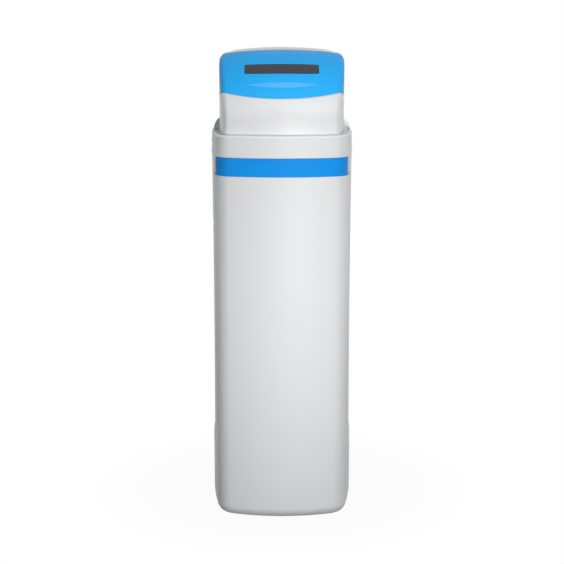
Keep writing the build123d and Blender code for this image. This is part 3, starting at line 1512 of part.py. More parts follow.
def make_brine_valve():
    """Brine valve body with its outlet arm and its float guide."""
    low = valve_block_low()
    body = cylinder_z(line_x(), WELL_Y, low, low + VALVE_BLOCK_HEIGHT, VALVE_BLOCK_R)
    body += cylinder_y(line_x(), LINE_ENTRY_Z, WELL_Y, arm_end(), PICKUP_R)
    z = guide_z()
    body += block(line_x(), float_x(), WELL_Y - GUIDE_THICK, WELL_Y + GUIDE_THICK, z, z + GUIDE_THICK)
    body += cylinder_z(float_x(), WELL_Y, z, z + GUIDE_THICK, GUIDE_R)
    return body - cylinder_z(float_x(), WELL_Y, z, z + GUIDE_THICK, FLOAT_ROD_R + FLOAT_ROD_PLAY)


def rod_top():
    """Top of the float rod."""
    return guide_z() + GUIDE_THICK + SEAT + FLOAT_STOP


def make_float_rod():
    """Rod with the stop that shuts the brine valve when it rises."""
    rod = cylinder_z(float_x(), WELL_Y, rod_top() - FLOAT_ROD_LENGTH, rod_top(), FLOAT_ROD_R)
    return rod + cylinder_z(float_x(), WELL_Y, rod_top() - FLOAT_STOP, rod_top(), FLOAT_STOP_R)


def make_float():
    """Float near the foot of its rod."""
    low = rod_top() - FLOAT_ROD_LENGTH + FLOAT_UP
    body = cylinder_z(float_x(), WELL_Y, low, low + FLOAT_HEIGHT, FLOAT_R)
    body = fillet(body.edges().filter_by(GeomType.CIRCLE), FLOAT_R / 5)
    return body - cylinder_z(float_x(), WELL_Y, low, low + FLOAT_HEIGHT, FLOAT_ROD_R)


# Overflow and screws
def overflow_z():
    """Height of the overflow."""
    return SEAM_Z - OVERFLOW_DROP


def make_overflow():
    """Overflow spigot through the rear wall."""
    inner = REAR_Y - BODY_INNER - OVERFLOW_NUT
    outer = REAR_Y + OVERFLOW_FLANGE
    pipe = cylinder_y(OVERFLOW_SIDE, overflow_z(), inner, outer + OVERFLOW_REACH, OVERFLOW_R)
    pipe += cylinder_y(OVERFLOW_SIDE, overflow_z(), REAR_Y, outer, OVERFLOW_FLANGE_R)
    return pipe - cylinder_y(OVERFLOW_SIDE, overflow_z(), inner, outer + OVERFLOW_REACH, OVERFLOW_BORE)


def make_overflow_nut():
    """Nut inside the wall that holds the overflow."""
    back = REAR_Y - BODY_INNER
    front = back - OVERFLOW_NUT
    nut = hexagon_y(OVERFLOW_SIDE, overflow_z(), front, back, OVERFLOW_NUT_R)
    return nut - cylinder_y(OVERFLOW_SIDE, overflow_z(), front, back, OVERFLOW_R)


def make_screws():
    """Screws that hold the front housing on the deck."""
    screws = []
    head_z = LEDGE_Z + BULKHEAD
    for x in screw_places():
        screw = cylinder_z(x, screw_y(), head_z - SCREW_LENGTH, head_z, SCREW_R)
        screws.append(screw + cylinder_z(x, screw_y(), head_z, head_z + SCREW_HEAD, SCREW_HEAD_R))
    return Compound(children=screws)


put("cabinet_body", make_body())
put("collar", make_collar())
put("front_band", make_band())
put("front_housing", make_housing())
put("salt_lid", make_lid())
put("name_plate", make_plate())
put("hinge_pins", make_pins())
put("rear_hood", make_hood())
put("resin_tank", make_tank())
put("tank_boot", make_boot())
put("resin_bed", make_resin())
put("riser_tube", make_riser())
put("bottom_strainer", make_strainer())
put("top_strainer", make_top_strainer())
put("valve_body", make_valve_body())
put("seal_stack", make_stack())
put("piston", make_piston())
put("piston_rod", make_rod())
put("barrel_cap", make_cap())
put("drive_plate", make_drive_plate())
put("drive_gear", make_drive_gear())
put("idler_gear", make_idler())
put("idler_axle", make_axle())
put("motor_pinion", make_pinion())
put("motor", make_motor())
put("controller_cover", make_cover())
put("display_pane", make_pane())
put("display", make_display())
put("circuit_board", make_board())
for number, place in enumerate(button_places(), start=1):
    put(f"button_{number}", make_button(place))
put("power_inlet", make_power_inlet())
put("turbine_holder", make_holder())
put("meter_turbine", make_turbine())
put("union_nuts", make_unions())
put("bypass_body", make_bypass())
put("bypass_inlet_rotor", make_rotor(-1))
put("bypass_outlet_rotor", make_rotor(1))
put("pipe_stubs", make_stubs())
put("stub_nuts", make_stub_nuts())
put("drain_elbow", make_drain())
put("brine_elbow", make_brine_elbow())
put("brine_line", make_line())
put("injector_cap", make_injector_cap())
put("brine_well", make_well())
put("brine_well_cap", make_well_cap())
put("air_check", make_air_check())
put("pickup_tube", make_pickup())
put("brine_valve", make_brine_valve())
put("float_rod", make_float_rod())
put("float", make_float())
put("overflow_spigot", make_overflow())
put("overflow_nut", make_overflow_nut())
put("housing_screws", make_screws())

os.makedirs("parts", exist_ok=True)
for name, shape in nodes.items():
    if len(shape.solids()) == 1:
        shape = shape.solids()[0]
    export_step(shape, f"parts/{name}.step")
    print(name, len(shape.solids()), round(shape.volume), shape.bounding_box())
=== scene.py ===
"""Looks of a cabinet water softener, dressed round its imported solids.

Each sub-assembly is a class with its sizes as fields. Lengths are in metres unless a name ends in mm.
"""

from __future__ import annotations

import json
import logging
import math
from dataclasses import dataclass, field
from enum import Enum

import bmesh
import bpy
from mathutils import Matrix, Vector

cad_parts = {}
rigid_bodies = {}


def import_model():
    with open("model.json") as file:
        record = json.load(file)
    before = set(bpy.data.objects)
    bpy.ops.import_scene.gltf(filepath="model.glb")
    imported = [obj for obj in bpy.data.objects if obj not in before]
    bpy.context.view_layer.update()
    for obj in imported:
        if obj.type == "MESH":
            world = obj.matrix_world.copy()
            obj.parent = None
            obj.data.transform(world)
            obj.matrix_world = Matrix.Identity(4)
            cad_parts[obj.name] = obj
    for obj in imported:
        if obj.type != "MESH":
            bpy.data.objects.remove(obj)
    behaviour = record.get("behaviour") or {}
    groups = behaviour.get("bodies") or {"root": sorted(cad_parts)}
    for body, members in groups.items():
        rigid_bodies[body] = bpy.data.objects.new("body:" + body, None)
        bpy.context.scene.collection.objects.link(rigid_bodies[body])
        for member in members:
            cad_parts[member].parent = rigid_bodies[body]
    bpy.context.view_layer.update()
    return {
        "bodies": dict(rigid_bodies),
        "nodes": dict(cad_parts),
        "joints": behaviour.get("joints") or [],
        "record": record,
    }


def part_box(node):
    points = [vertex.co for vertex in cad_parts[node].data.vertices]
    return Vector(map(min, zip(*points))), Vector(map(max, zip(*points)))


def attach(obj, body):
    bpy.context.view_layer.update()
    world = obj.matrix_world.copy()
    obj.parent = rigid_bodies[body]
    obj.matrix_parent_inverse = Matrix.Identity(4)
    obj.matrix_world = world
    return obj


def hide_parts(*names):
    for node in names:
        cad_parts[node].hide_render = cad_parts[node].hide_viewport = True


LOG = logging.getLogger("softener")
MM = 0.001
# Points that lie closer than this are one point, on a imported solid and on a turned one.
MERGE_MM = 0.01
TURNED_MERGE_MM = 0.005
# Radius at which the outline of a turned solid ends, short of its axis.
CORE_MM = 0.02


# Shader helpers
def linear(hex_colour: str) -> tuple[float, float, float, float]:
    """Turn an sRGB hex colour into the linear values that a shader takes.

    Args:
        hex_colour: Six hex digits, with or without a leading hash.

    Returns:
        Linear red, green, blue and an alpha of one.
    """
    digits = hex_colour.lstrip("#")
    parts = [int(digits[k : k + 2], 16) / 255 for k in (0, 2, 4)]
    lifted = [p / 12.92 if p <= 0.04045 else ((p + 0.055) / 1.055) ** 2.4 for p in parts]
    return (lifted[0], lifted[1], lifted[2], 1.0)


def add(
    tree: bpy.types.NodeTree, kind: str, feeds: dict[int | str, object] | None = None, **settings: object
) -> bpy.types.Node:
    """Add one node with its settings, values and links.

    Args:
        tree: Node tree that takes the node.
        kind: Blender's name of the node type.
        feeds: Socket name or number to a value, or to the output that feeds it.
        **settings: Properties of the node.

    Returns:
        The new node.
    """
    made = tree.nodes.new(kind)
    for key, value in settings.items():
        setattr(made, key, value)
    for key, value in (feeds or {}).items():
        if isinstance(value, bpy.types.NodeSocket):
            tree.links.new(value, made.inputs[key])
        else:
            made.inputs[key].default_value = value
    return made


class Surface(Enum):
    """How a surface was made, which decides its pattern."""

    MOULDED = "moulded"
    BLOWN = "blown"
    EXTRUDED = "extruded"
    DRAWN = "drawn"
    WOUND = "wound"
    BEADS = "beads"
    LAMINATE = "laminate"


# Slow changes over a whole surface, in waves to the metre, and how far they move its roughness.
GLOSS_WAVES = 9.0
TONE_WAVES = 6.5
GLOSS_DOWN = 0.03
GLOSS_UP = 0.04
# Share of its relief that a pattern shows.
BUMP_SHARE = 0.6
# Width of a die line as a share of its length.
LINE_SHARE = 0.06
# Lean of each helix of roving in degrees, how far it wavers, and a wave's length at a scale of one.
ROVING_LEAN = 35.0
ROVING_WAVER = 0.6
WAVE_LENGTH = 0.3
# Width of a copper track as a share of the pattern's grain.
TRACK_SHARE = 0.06


@dataclass(frozen=True)
class Finish:
    """One material with its colours, gloss and pattern.

    Attributes:
        name: Common name of the real material and how it was made.
        colour: Main colour in sRGB hex.
        shade: Second colour that the pattern mixes in.
        surface: How the surface was made.
        grain_mm: Size of the pattern's features.
        relief_mm: Height of the pattern's bumps.
        roughness: Gloss of the plain surface.
        metallic: One for bare metal.
        coat: Weight of a clear top layer.
        specular: Share of the usual mirror reflection.
        index: Refractive index, which sets the sheen at a low angle.
        amount: Share of the second colour where the pattern is strongest.
        clear: Share of the light that passes through.
    """

    name: str
    colour: str
    shade: str
    surface: Surface
    grain_mm: float
    relief_mm: float
    roughness: float
    metallic: float = 0.0
    coat: float = 0.0
    specular: float = 0.5
    index: float = 1.5
    amount: float = 0.5
    clear: float = 0.0

    def material(self) -> bpy.types.Material:
        """Return this finish as a material, made once.

        Returns:
            The material.
        """
        found = bpy.data.materials.get(self.name)
        if found:
            return found
        made = bpy.data.materials.new(self.name)
        made.use_nodes = True
        tree = made.node_tree
        tree.nodes.clear()
        place = add(tree, "ShaderNodeTexCoord").outputs["Object"]
        height, mask = self.pattern(tree, place)
        cloud = add(tree, "ShaderNodeTexNoise", {"Vector": place, "Scale": GLOSS_WAVES, "Detail": 3.0})
        gloss = add(
            tree,
            "ShaderNodeMapRange",
            {0: cloud.outputs["Fac"], 3: self.roughness - GLOSS_DOWN, 4: self.roughness + GLOSS_UP},
        )
        tint = add(
            tree,
            "ShaderNodeMix",
            {0: mask, 6: linear(self.colour), 7: linear(self.shade)},
            data_type="RGBA",
        )
        bump = add(
            tree,
            "ShaderNodeBump",
            {"Height": height, "Strength": BUMP_SHARE, "Distance": self.relief_mm * MM},
        )
        shader = add(
            tree,
            "ShaderNodeBsdfPrincipled",
            {
                "Base Color": tint.outputs[2],
                "Roughness": gloss.outputs[0],
                "Normal": bump.outputs["Normal"],
                "Metallic": self.metallic,
                "Coat Weight": self.coat,
                "Specular IOR Level": self.specular,
                "IOR": self.index,
                "Transmission Weight": self.clear,
            },
        )
        add(tree, "ShaderNodeOutputMaterial", {"Surface": shader.outputs[0]})
        return made

    def pattern(
        self, tree: bpy.types.NodeTree, place: bpy.types.NodeSocket
    ) -> tuple[bpy.types.NodeSocket, bpy.types.NodeSocket]:
        """Add the pattern of the surface.

        Args:
            tree: Node tree of the material.
            place: Output that gives the point on the piece.

        Returns:
            Output for the bump's height and output for the share of the second colour.
        """
        makers = {
            Surface.EXTRUDED: self.die_lines,
            Surface.DRAWN: self.die_lines,
            Surface.WOUND: self.crossed_roving,
            Surface.BEADS: self.packed_beads,
            Surface.LAMINATE: self.copper_tracks,
        }
        maker = makers.get(self.surface, self.mould_grain)
        height, source = maker(tree, place, 1 / (self.grain_mm * MM))
        mask = add(tree, "ShaderNodeMapRange", {0: source, 3: 0.0, 4: self.amount})
        return height, mask.outputs[0]

    def die_lines(
        self, tree: bpy.types.NodeTree, place: bpy.types.NodeSocket, scale: float
    ) -> tuple[bpy.types.NodeSocket, bpy.types.NodeSocket]:
        """Add the lines of a die, which run along the length, so the grain is drawn out in Y and Z.

        Args:
            tree: Node tree of the material.
            place: Output that gives the point on the piece.
            scale: Lines to the metre.

        Returns:
            Output for the bump's height and output that the second colour follows.
        """
        stretch = add(
            tree, "ShaderNodeMapping", {"Vector": place, "Scale": (1.0, LINE_SHARE, LINE_SHARE)}
        )
        lines = add(
            tree, "ShaderNodeTexNoise", {"Vector": stretch.outputs[0], "Scale": scale, "Detail": 2.0}
        )
        return lines.outputs["Fac"], lines.outputs["Fac"]

    def crossed_roving(
        self, tree: bpy.types.NodeTree, place: bpy.types.NodeSocket, scale: float
    ) -> tuple[bpy.types.NodeSocket, bpy.types.NodeSocket]:
        """Add two crossed helices of roving under resin.

        Args:
            tree: Node tree of the material.
            place: Output that gives the point on the piece.
            scale: Strands to the metre.

        Returns:
            Output for the bump's height and output that the second colour follows.
        """
        waves = []
        for lean in (ROVING_LEAN, -ROVING_LEAN):
            leant = add(
                tree,
                "ShaderNodeMapping",
                {"Vector": place, "Rotation": (0.0, math.radians(lean), 0.0)},
            )
            wave = add(
                tree,
                "ShaderNodeTexWave",
                {"Vector": leant.outputs[0], "Scale": scale * WAVE_LENGTH, "Distortion": ROVING_WAVER},
                bands_direction="Z",
            )
            waves.append(wave.outputs["Fac"])
        both = add(tree, "ShaderNodeMath", {0: waves[0], 1: waves[1]}, operation="MAXIMUM")
        return both.outputs[0], both.outputs[0]

    def packed_beads(
        self, tree: bpy.types.NodeTree, place: bpy.types.NodeSocket, scale: float
    ) -> tuple[bpy.types.NodeSocket, bpy.types.NodeSocket]:
        """Add round beads, each in a tone of its own.

        Args:
            tree: Node tree of the material.
            place: Output that gives the point on the piece.
            scale: Beads to the metre.

        Returns:
            Output for the bump's height and output that the second colour follows.
        """
        beads = add(tree, "ShaderNodeTexVoronoi", {"Vector": place, "Scale": scale})
        height = add(tree, "ShaderNodeMath", {0: 1.0, 1: beads.outputs["Distance"]}, operation="SUBTRACT")
        tone = add(tree, "ShaderNodeSeparateColor", {0: beads.outputs["Color"]})
        return height.outputs[0], tone.outputs[0]

    def copper_tracks(
        self, tree: bpy.types.NodeTree, place: bpy.types.NodeSocket, scale: float
    ) -> tuple[bpy.types.NodeSocket, bpy.types.NodeSocket]:
        """Add the tracks of an upright board.

        Args:
            tree: Node tree of the material.
            place: Output that gives the point on the piece.
            scale: Repeats of the pattern to the metre.

        Returns:
            Output for the bump's height and output that the second colour follows.
        """
        upright = add(
            tree, "ShaderNodeMapping", {"Vector": place, "Rotation": (math.pi / 2, 0.0, 0.0)}
        )
        tracks = add(
            tree,
            "ShaderNodeTexBrick",
            {"Vector": upright.outputs[0], "Scale": scale, "Mortar Size": TRACK_SHARE},
        )
        return tracks.outputs["Fac"], tracks.outputs["Fac"]

    def mould_grain(
        self, tree: bpy.types.NodeTree, place: bpy.types.NodeSocket, scale: float
    ) -> tuple[bpy.types.NodeSocket, bpy.types.NodeSocket]:
        """Add the spark-eroded grain of a mould, or the orange peel of a blown wall.

        Args:
            tree: Node tree of the material.
            place: Output that gives the point on the piece.
            scale: Grains to the metre.

        Returns:
            Output for the bump's height and output that the second colour follows.
        """
        peel = add(tree, "ShaderNodeTexNoise", {"Vector": place, "Scale": scale, "Detail": 4.0})
        wide = add(tree, "ShaderNodeTexNoise", {"Vector": place, "Scale": TONE_WAVES, "Detail": 2.0})
        tone = add(
            tree,
            "ShaderNodeMath",
            {0: wide.outputs["Fac"], 1: peel.outputs["Fac"]},
            operation="MULTIPLY",
        )
        return peel.outputs["Fac"], tone.outputs[0]


# The grain of moulded plastic and the lines of drawn metal are finer than a pixel of the picture,
# so each is drawn as wide as it needs to show.
# Blow-moulded polyethylene: a soft satin wall with a faint orange peel and cloudy tone.
CABINET_WALL = Finish(
    "HDPE_blow_moulded_light_grey", "#E1E3E4", "#D3D7D9", Surface.BLOWN, 5.0, 0.05, 0.48, specular=0.4
)
# Injection-moulded ABS: finer grain and a little more gloss than the blown cabinet.
HEAD_SHELL = Finish(
    "ABS_moulded_light_grey", "#E3E5E6", "#D8DBDD", Surface.MOULDED, 3.0, 0.03, 0.4, specular=0.35
)
# Coloured ABS: a full, bright blue, with so little sheen that it stays blue at a low angle.
LID_BLUE = Finish(
    "ABS_moulded_blue", "#32B6FF", "#28AAFC", Surface.MOULDED, 3.0, 0.03, 0.4, specular=0.15, index=1.2
)
# The same plastic in the narrow strip: a deeper blue, a little duller than the lid.
BAND_BLUE = Finish(
    "ABS_moulded_blue_strip",
    "#1C98F0",
    "#148CE6",
    Surface.MOULDED,
    3.0,
    0.03,
    0.42,
    specular=0.15,
    index=1.2,
)
# The same plastic in the finger grip, glossier, with a paler blue that is a painted highlight on its
# scooped faces.
GRIP_BLUE_PAINTED_HIGHLIGHT = Finish(
    "ABS_moulded_blue_painted_highlight", "#50BCFF", "#46B2FA", Surface.MOULDED, 3.0, 0.02, 0.3, specular=0.3
)
# The name plate is bright metal; its dark colour and low sheen are a painted reflection of dark
# surroundings, with faint drawn lines.
PLATE_PAINTED_REFLECTION = Finish(
    "metal_plate_painted_dark_reflection", "#3E4046", "#33343A", Surface.DRAWN, 1.2, 0.02, 0.5, specular=0.15
)
# Drawn stainless steel: bright with fine lines along the bar.
STEEL = Finish("stainless_steel_drawn", "#B9BBBD", "#9A9CA0", Surface.DRAWN, 0.8, 0.01, 0.28, metallic=1.0)
# Zinc plate: slightly blue and cloudy.
ZINC = Finish("steel_zinc_plated", "#C3C7CB", "#A4A9B0", Surface.DRAWN, 1.0, 0.01, 0.34, metallic=1.0)
# Glass fibre wound over a liner: crossed roving under glossy resin.
VESSEL_WALL = Finish("glass_fibre_wound", "#5E7280", "#42525E", Surface.WOUND, 9.0, 0.25, 0.30, coat=0.5)
# Vulcanised rubber foot: dull black with a grey bloom.
BOOT_RUBBER = Finish("rubber_moulded_black", "#232426", "#2E3032", Surface.MOULDED, 2.5, 0.08, 0.72)
# Ion exchange beads, wet amber, about 0.6 mm in truth and drawn at 3 mm so that they show.
BEADS = Finish(
    "resin_beads_amber", "#B07A2C", "#7C4A12", Surface.BEADS, 3.0, 0.9, 0.25, coat=0.4, amount=0.9
)
# Unfilled polypropylene pipe: milky white with faint die lines.
PIPE_WHITE = Finish("polypropylene_extruded_white", "#E4E4E0", "#D2D2CC", Surface.EXTRUDED, 1.5, 0.02, 0.4)
# Grey acetal fittings: smooth, with a quiet gloss.
FITTING_GREY = Finish("acetal_moulded_grey", "#8B8F94", "#7C8086", Surface.MOULDED, 2.0, 0.03, 0.42)
# Glass-filled polymer of the valve: black, dulled by the fibres in its skin.
VALVE_BLACK = Finish("glass_filled_polymer_black", "#26272A", "#34363A", Surface.MOULDED, 1.6, 0.05, 0.5)
# Spacer cage: natural tan polymer, smooth and plain.
SPACER = Finish("polyphenylene_moulded_tan", "#C9B58A", "#B59F72", Surface.MOULDED, 2.0, 0.03, 0.45)
# Piston: dark green-grey low-friction coating with a low sheen.
PISTON_COAT = Finish("fluoropolymer_coated", "#3B443F", "#2E3632", Surface.DRAWN, 1.0, 0.01, 0.38)
# Gears: white and tan acetal, slightly waxy.
GEAR_WHITE = Finish("acetal_moulded_white", "#EDEDE8", "#DCDCD4", Surface.MOULDED, 2.0, 0.02, 0.35)
GEAR_TAN = Finish("acetal_moulded_tan", "#C8A970", "#B7965C", Surface.MOULDED, 2.0, 0.02, 0.37)
# Pane: clear acrylic, nearly a mirror at a low angle.
PANE = Finish(
    "acrylic_clear", "#EEF4F5", "#E6EEF0", Surface.MOULDED, 4.0, 0.005, 0.05, index=1.49, clear=0.9
)
# Liquid crystal panel: grey-green, unlit, glossy under its glass.
LCD = Finish("liquid_crystal_panel", "#93A48F", "#84957F", Surface.MOULDED, 1.0, 0.005, 0.18, coat=0.6)
# Circuit board: green mask over copper tracks, drawn 3.5 and 7 mm apart so that they show.
BOARD = Finish(
    "circuit_laminate_green", "#12532B", "#2C7A45", Surface.LAMINATE, 14.0, 0.03, 0.35, amount=0.6
)
# Soft keys: moulded silicone in dark blue, dull to the eye.
KEY = Finish("silicone_moulded_blue", "#27508C", "#1F4479", Surface.MOULDED, 1.5, 0.03, 0.55)
# Bypass handles: red ABS with a satin gloss.
HANDLE_RED = Finish("ABS_moulded_red", "#C0211B", "#A51813", Surface.MOULDED, 2.0, 0.03, 0.36)
# Polyethylene tube: natural, milky white with faint die lines.
TUBE = Finish("polyethylene_extruded_natural", "#E9EBEA", "#DADDDC", Surface.EXTRUDED, 1.4, 0.02, 0.38)
# Float: orange blown polypropylene with a faint peel.
FLOAT_ORANGE = Finish("polypropylene_blown_orange", "#E58B22", "#D27A16", Surface.BLOWN, 3.0, 0.05, 0.42)


# Carried-over solids
@dataclass
class Dressed:
    """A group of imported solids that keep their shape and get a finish.

    Attributes:
        finishes: Node name to its finish.
        smooth: Angle in degrees above which an edge stays sharp.
    """

    finishes: dict[str, Finish]
    smooth: float = 32.0

    def dress(self, frame: dict) -> None:
        """Give each node its finish and soften its round faces.
        """
        for name, finish in self.finishes.items():
            node = frame["nodes"][name]
            node.data.materials.clear()
            node.data.materials.append(finish.material())
            node.data.shade_smooth()
            weld = node.modifiers.new("weld", "WELD")
            weld.merge_threshold = MERGE_MM * MM
            split = node.modifiers.new("split", "EDGE_SPLIT")
            split.split_angle = math.radians(self.smooth)
            LOG.info("dressed %s in %s", name, finish.name)


SOLIDS = Dressed(
    {
        "cabinet_body": CABINET_WALL,
        "collar": CABINET_WALL,
        "front_band": BAND_BLUE,
        "front_housing": HEAD_SHELL,
        "salt_lid": LID_BLUE,
        # The plate's dark colour is a painted reflection of dark surroundings.
        "name_plate": PLATE_PAINTED_REFLECTION,
        "rear_hood": HEAD_SHELL,
        "hinge_pins": STEEL,
        "resin_tank": VESSEL_WALL,
        "tank_boot": BOOT_RUBBER,
        "resin_bed": BEADS,
        "riser_tube": PIPE_WHITE,
        "bottom_strainer": FITTING_GREY,
        "top_strainer": FITTING_GREY,
        "valve_body": VALVE_BLACK,
        "seal_stack": SPACER,
        "piston": PISTON_COAT,
        "piston_rod": STEEL,
        "barrel_cap": VALVE_BLACK,
        "drive_plate": VALVE_BLACK,
        "drive_gear": GEAR_WHITE,
        "idler_gear": GEAR_TAN,
        "idler_axle": STEEL,
        "motor_pinion": GEAR_WHITE,
        "motor": ZINC,
        "controller_cover": HEAD_SHELL,
        "display_pane": PANE,
        "display": LCD,
        "circuit_board": BOARD,
        "button_1": KEY,
        "button_2": KEY,
        "button_3": KEY,
        "button_4": KEY,
        "power_inlet": VALVE_BLACK,
        "turbine_holder": GEAR_WHITE,
        "meter_turbine": GEAR_WHITE,
        "union_nuts": VALVE_BLACK,
        "bypass_body": VALVE_BLACK,
        "bypass_inlet_rotor": HANDLE_RED,
        "bypass_outlet_rotor": HANDLE_RED,
        "pipe_stubs": FITTING_GREY,
        "stub_nuts": VALVE_BLACK,
        "drain_elbow": FITTING_GREY,
        "brine_elbow": FITTING_GREY,
        "brine_line": TUBE,
        "injector_cap": VALVE_BLACK,
        "brine_well": PIPE_WHITE,
        "brine_well_cap": VALVE_BLACK,
        "air_check": PIPE_WHITE,
        "pickup_tube": PIPE_WHITE,
        "brine_valve": PIPE_WHITE,
        "float_rod": PIPE_WHITE,
        "float": FLOAT_ORANGE,
        "overflow_spigot": VALVE_BLACK,
        "overflow_nut": VALVE_BLACK,
        "housing_screws": STEEL,
    }
)


# Width of the rounded edges of the moulded pieces that show most.
EDGE_ROUNDS_MM = {
    "name_plate": 0.5,
    "front_band": 0.6,
    "collar": 1.2,
    "salt_lid": 0.5,
    "front_housing": 0.5,
    "rear_hood": 0.6,
    "controller_cover": 0.6,
    "cabinet_body": 1.2,
}


# Pieces made here
def finished(
    shape: bmesh.types.BMesh, name: str, finish: Finish, body: str, outward: bool = True
) -> bpy.types.Object:
    """Turn a shape into a piece that rides on a body.

    Args:
        shape: Mesh in place, which is used up.
        name: Name of the piece.
        finish: Its finish.
        body: Body that it moves with.
        outward: Turn the faces outward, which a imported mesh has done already.

    Returns:
        The new piece.
    """
    if outward:
        bmesh.ops.recalc_face_normals(shape, faces=shape.faces)
    mesh = bpy.data.meshes.new(name)
    shape.to_mesh(mesh)
    shape.free()
    mesh.materials.append(finish.material())
    piece = bpy.data.objects.new(name, mesh)
    bpy.context.scene.collection.objects.link(piece)
    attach(piece, body)
    LOG.info("made %s in %s", name, finish.name)
    return piece


def turned(
    shape: bmesh.types.BMesh, profile: list[tuple[float, float]], place: Matrix, steps: int
) -> None:
    """Add a closed outline turned about an axis.

    Args:
        shape: Mesh that takes the ring.
        profile: Closed outline as radius and length along the axis, in millimetres.
        place: Matrix whose Z is the axis.
        steps: Faces round the ring.
    """
    own = bmesh.new()
    corners = [own.verts.new((radius * MM, 0.0, along * MM)) for radius, along in profile]
    rim = [own.edges.new((a, b)) for a, b in zip(corners, corners[1:] + corners[:1])]
    bmesh.ops.spin(
        own,
        geom=corners + rim,
        axis=(0, 0, 1),
        cent=(0, 0, 0),
        angle=math.tau,
        steps=steps,
        use_merge=True,
    )
    bmesh.ops.remove_doubles(own, verts=own.verts, dist=TURNED_MERGE_MM * MM)
    bmesh.ops.transform(own, matrix=place, verts=own.verts)
    bmesh.ops.recalc_face_normals(own, faces=own.faces)
    for face in own.faces:
        face.smooth = True
    joined(shape, own)


def joined(shape: bmesh.types.BMesh, own: bmesh.types.BMesh) -> None:
    """Move one mesh into another.

    Args:
        shape: Mesh that takes the other.
        own: Mesh that is used up.
    """
    carrier = bpy.data.meshes.new("carrier")
    own.to_mesh(carrier)
    own.free()
    shape.from_mesh(carrier)
    bpy.data.meshes.remove(carrier)


def eased_step(value: float, low: float, high: float) -> float:
    """Return a smooth step from zero at the low value to one at the high value."""
    share = min(max((value - low) / (high - low), 0.0), 1.0)
    return share * share * (3.0 - 2.0 * share)


@dataclass(frozen=True)
class SkinSlide:
    """Slides what is set into the lid's round skin up along the skin.

    Attributes:
        axis_y_mm: Y of the upright axis that the skin is turned about.
        centre_mm: Radius and height of the middle of the skin's arc.
        skin_mm: Radius of the arc.
        front_deg: Angle of the skin's lower front edge.
        grip_mm: Slide of the finger grip.
        plate_mm: Slide of the plate.
        side_mm: Further slide at the side reach, so that both lie level across.
        side_reach_mm: Half width that the further slide is given for.
        side_limit: Share of the side reach past which the further slide grows no more.
        edge_curve: Rise of the skin's front edge along the skin, over the square of the way sideways.
        fade_mm: Distances sideways between which the slide fades out.
        marks_mm: Places along the skin: slide begins, grip begins, grip ends, plate begins,
            plate ends, rest begins.
    """

    axis_y_mm: float = 132.0
    centre_mm: tuple[float, float] = (127.746, 825.54)
    skin_mm: float = 274.43
    front_deg: float = 38.0
    grip_mm: float = 15.6
    plate_mm: float = 6.8
    side_mm: float = 7.0
    side_reach_mm: float = 87.0
    side_limit: float = 1.2
    edge_curve: float = 0.0008
    fade_mm: tuple[float, float] = (98.0, 130.0)
    marks_mm: tuple[float, ...] = (1.0, 14.0, 44.0, 72.0, 118.0, 190.0)

    def on_arc(self, point: Vector) -> tuple[float, float, float]:
        """Return where a point lies on the skin's arc.

        Args:
            point: The point in metres.

        Returns:
            Its way out and up from the middle of the arc, and its place along the skin, in millimetres.
        """
        x, y, z = (value / MM for value in point)
        out = math.hypot(x, self.axis_y_mm - y) - self.centre_mm[0]
        up = z - self.centre_mm[1]
        along = (math.atan2(up, out) - math.radians(self.front_deg)) * self.skin_mm
        return out, up, along

    def move(self, shape: bmesh.types.BMesh) -> None:
        """Move the points of a shape along the skin.

        Args:
            shape: Mesh to be moved.
        """
        begins, starts, ends, plate, stops, rest = self.marks_mm
        for point in shape.verts:
            x = point.co.x / MM
            out, up, along = self.on_arc(point.co)
            if point.co.y / MM > self.axis_y_mm or along <= 0 or along >= rest:
                continue
            rises = eased_step(along - self.edge_curve * x**2, begins, starts)
            rises *= 1.0 - eased_step(along, stops, rest)
            rises *= 1.0 - eased_step(abs(x), *self.fade_mm)
            middle = self.grip_mm + (self.plate_mm - self.grip_mm) * eased_step(along, ends, plate)
            beside = min(abs(x) / self.side_reach_mm, self.side_limit)
            slide = rises * (middle + self.side_mm * beside**2)
            angle = math.atan2(up, out) + slide / self.skin_mm
            reach = math.hypot(out, up)
            radius = self.centre_mm[0] + reach * math.cos(angle)
            height = self.centre_mm[1] + reach * math.sin(angle)
            point.co.y = (self.axis_y_mm - math.sqrt(max(radius**2 - x**2, 0.0))) * MM
            point.co.z = height * MM


@dataclass(frozen=True)
class CrownDrop:
    """Lowers the crown of the hood, more so at its side corners.

    Attributes:
        from_mm: Height that the lowering starts at.
        full_mm: Height that it is full at.
        drop_mm: Lowering of the crown.
        corner_mm: Further lowering at the side reach.
        corner_from_mm: Distance from the middle that the further lowering starts at.
        side_reach_mm: Distance from the middle that it is full at.
    """

    from_mm: float = 1040.0
    full_mm: float = 1100.0
    drop_mm: float = 5.0
    corner_mm: float = 3.0
    corner_from_mm: float = 115.0
    side_reach_mm: float = 145.0

    def move(self, shape: bmesh.types.BMesh) -> None:
        """Lower the points of a shape.

        Args:
            shape: Mesh to be moved.
        """
        for point in shape.verts:
            level = eased_step(point.co.z / MM, self.from_mm, self.full_mm)
            corner = eased_step(abs(point.co.x) / MM, self.corner_from_mm, self.side_reach_mm)
            point.co.z -= level * (self.drop_mm + self.corner_mm * corner) * MM


@dataclass(frozen=True)
class SeamGap:
    """Lifts the collar's lower edge off the cabinet's shoulder, so that the seam shows.

    Attributes:
        low_mm: Height of the lower edge.
        reach_mm: Height over it that still belongs to the edge.
        lift_mm: Gap that is left.
    """

    low_mm: float = 819.0
    reach_mm: float = 1.5
    lift_mm: float = 2.6

    def move(self, shape: bmesh.types.BMesh) -> None:
        """Lift the lower edge of a shape.

        Args:
            shape: Mesh to be moved.
        """
        for point in shape.verts:
            if point.co.z / MM < self.low_mm + self.reach_mm:
                point.co.z += self.lift_mm * MM


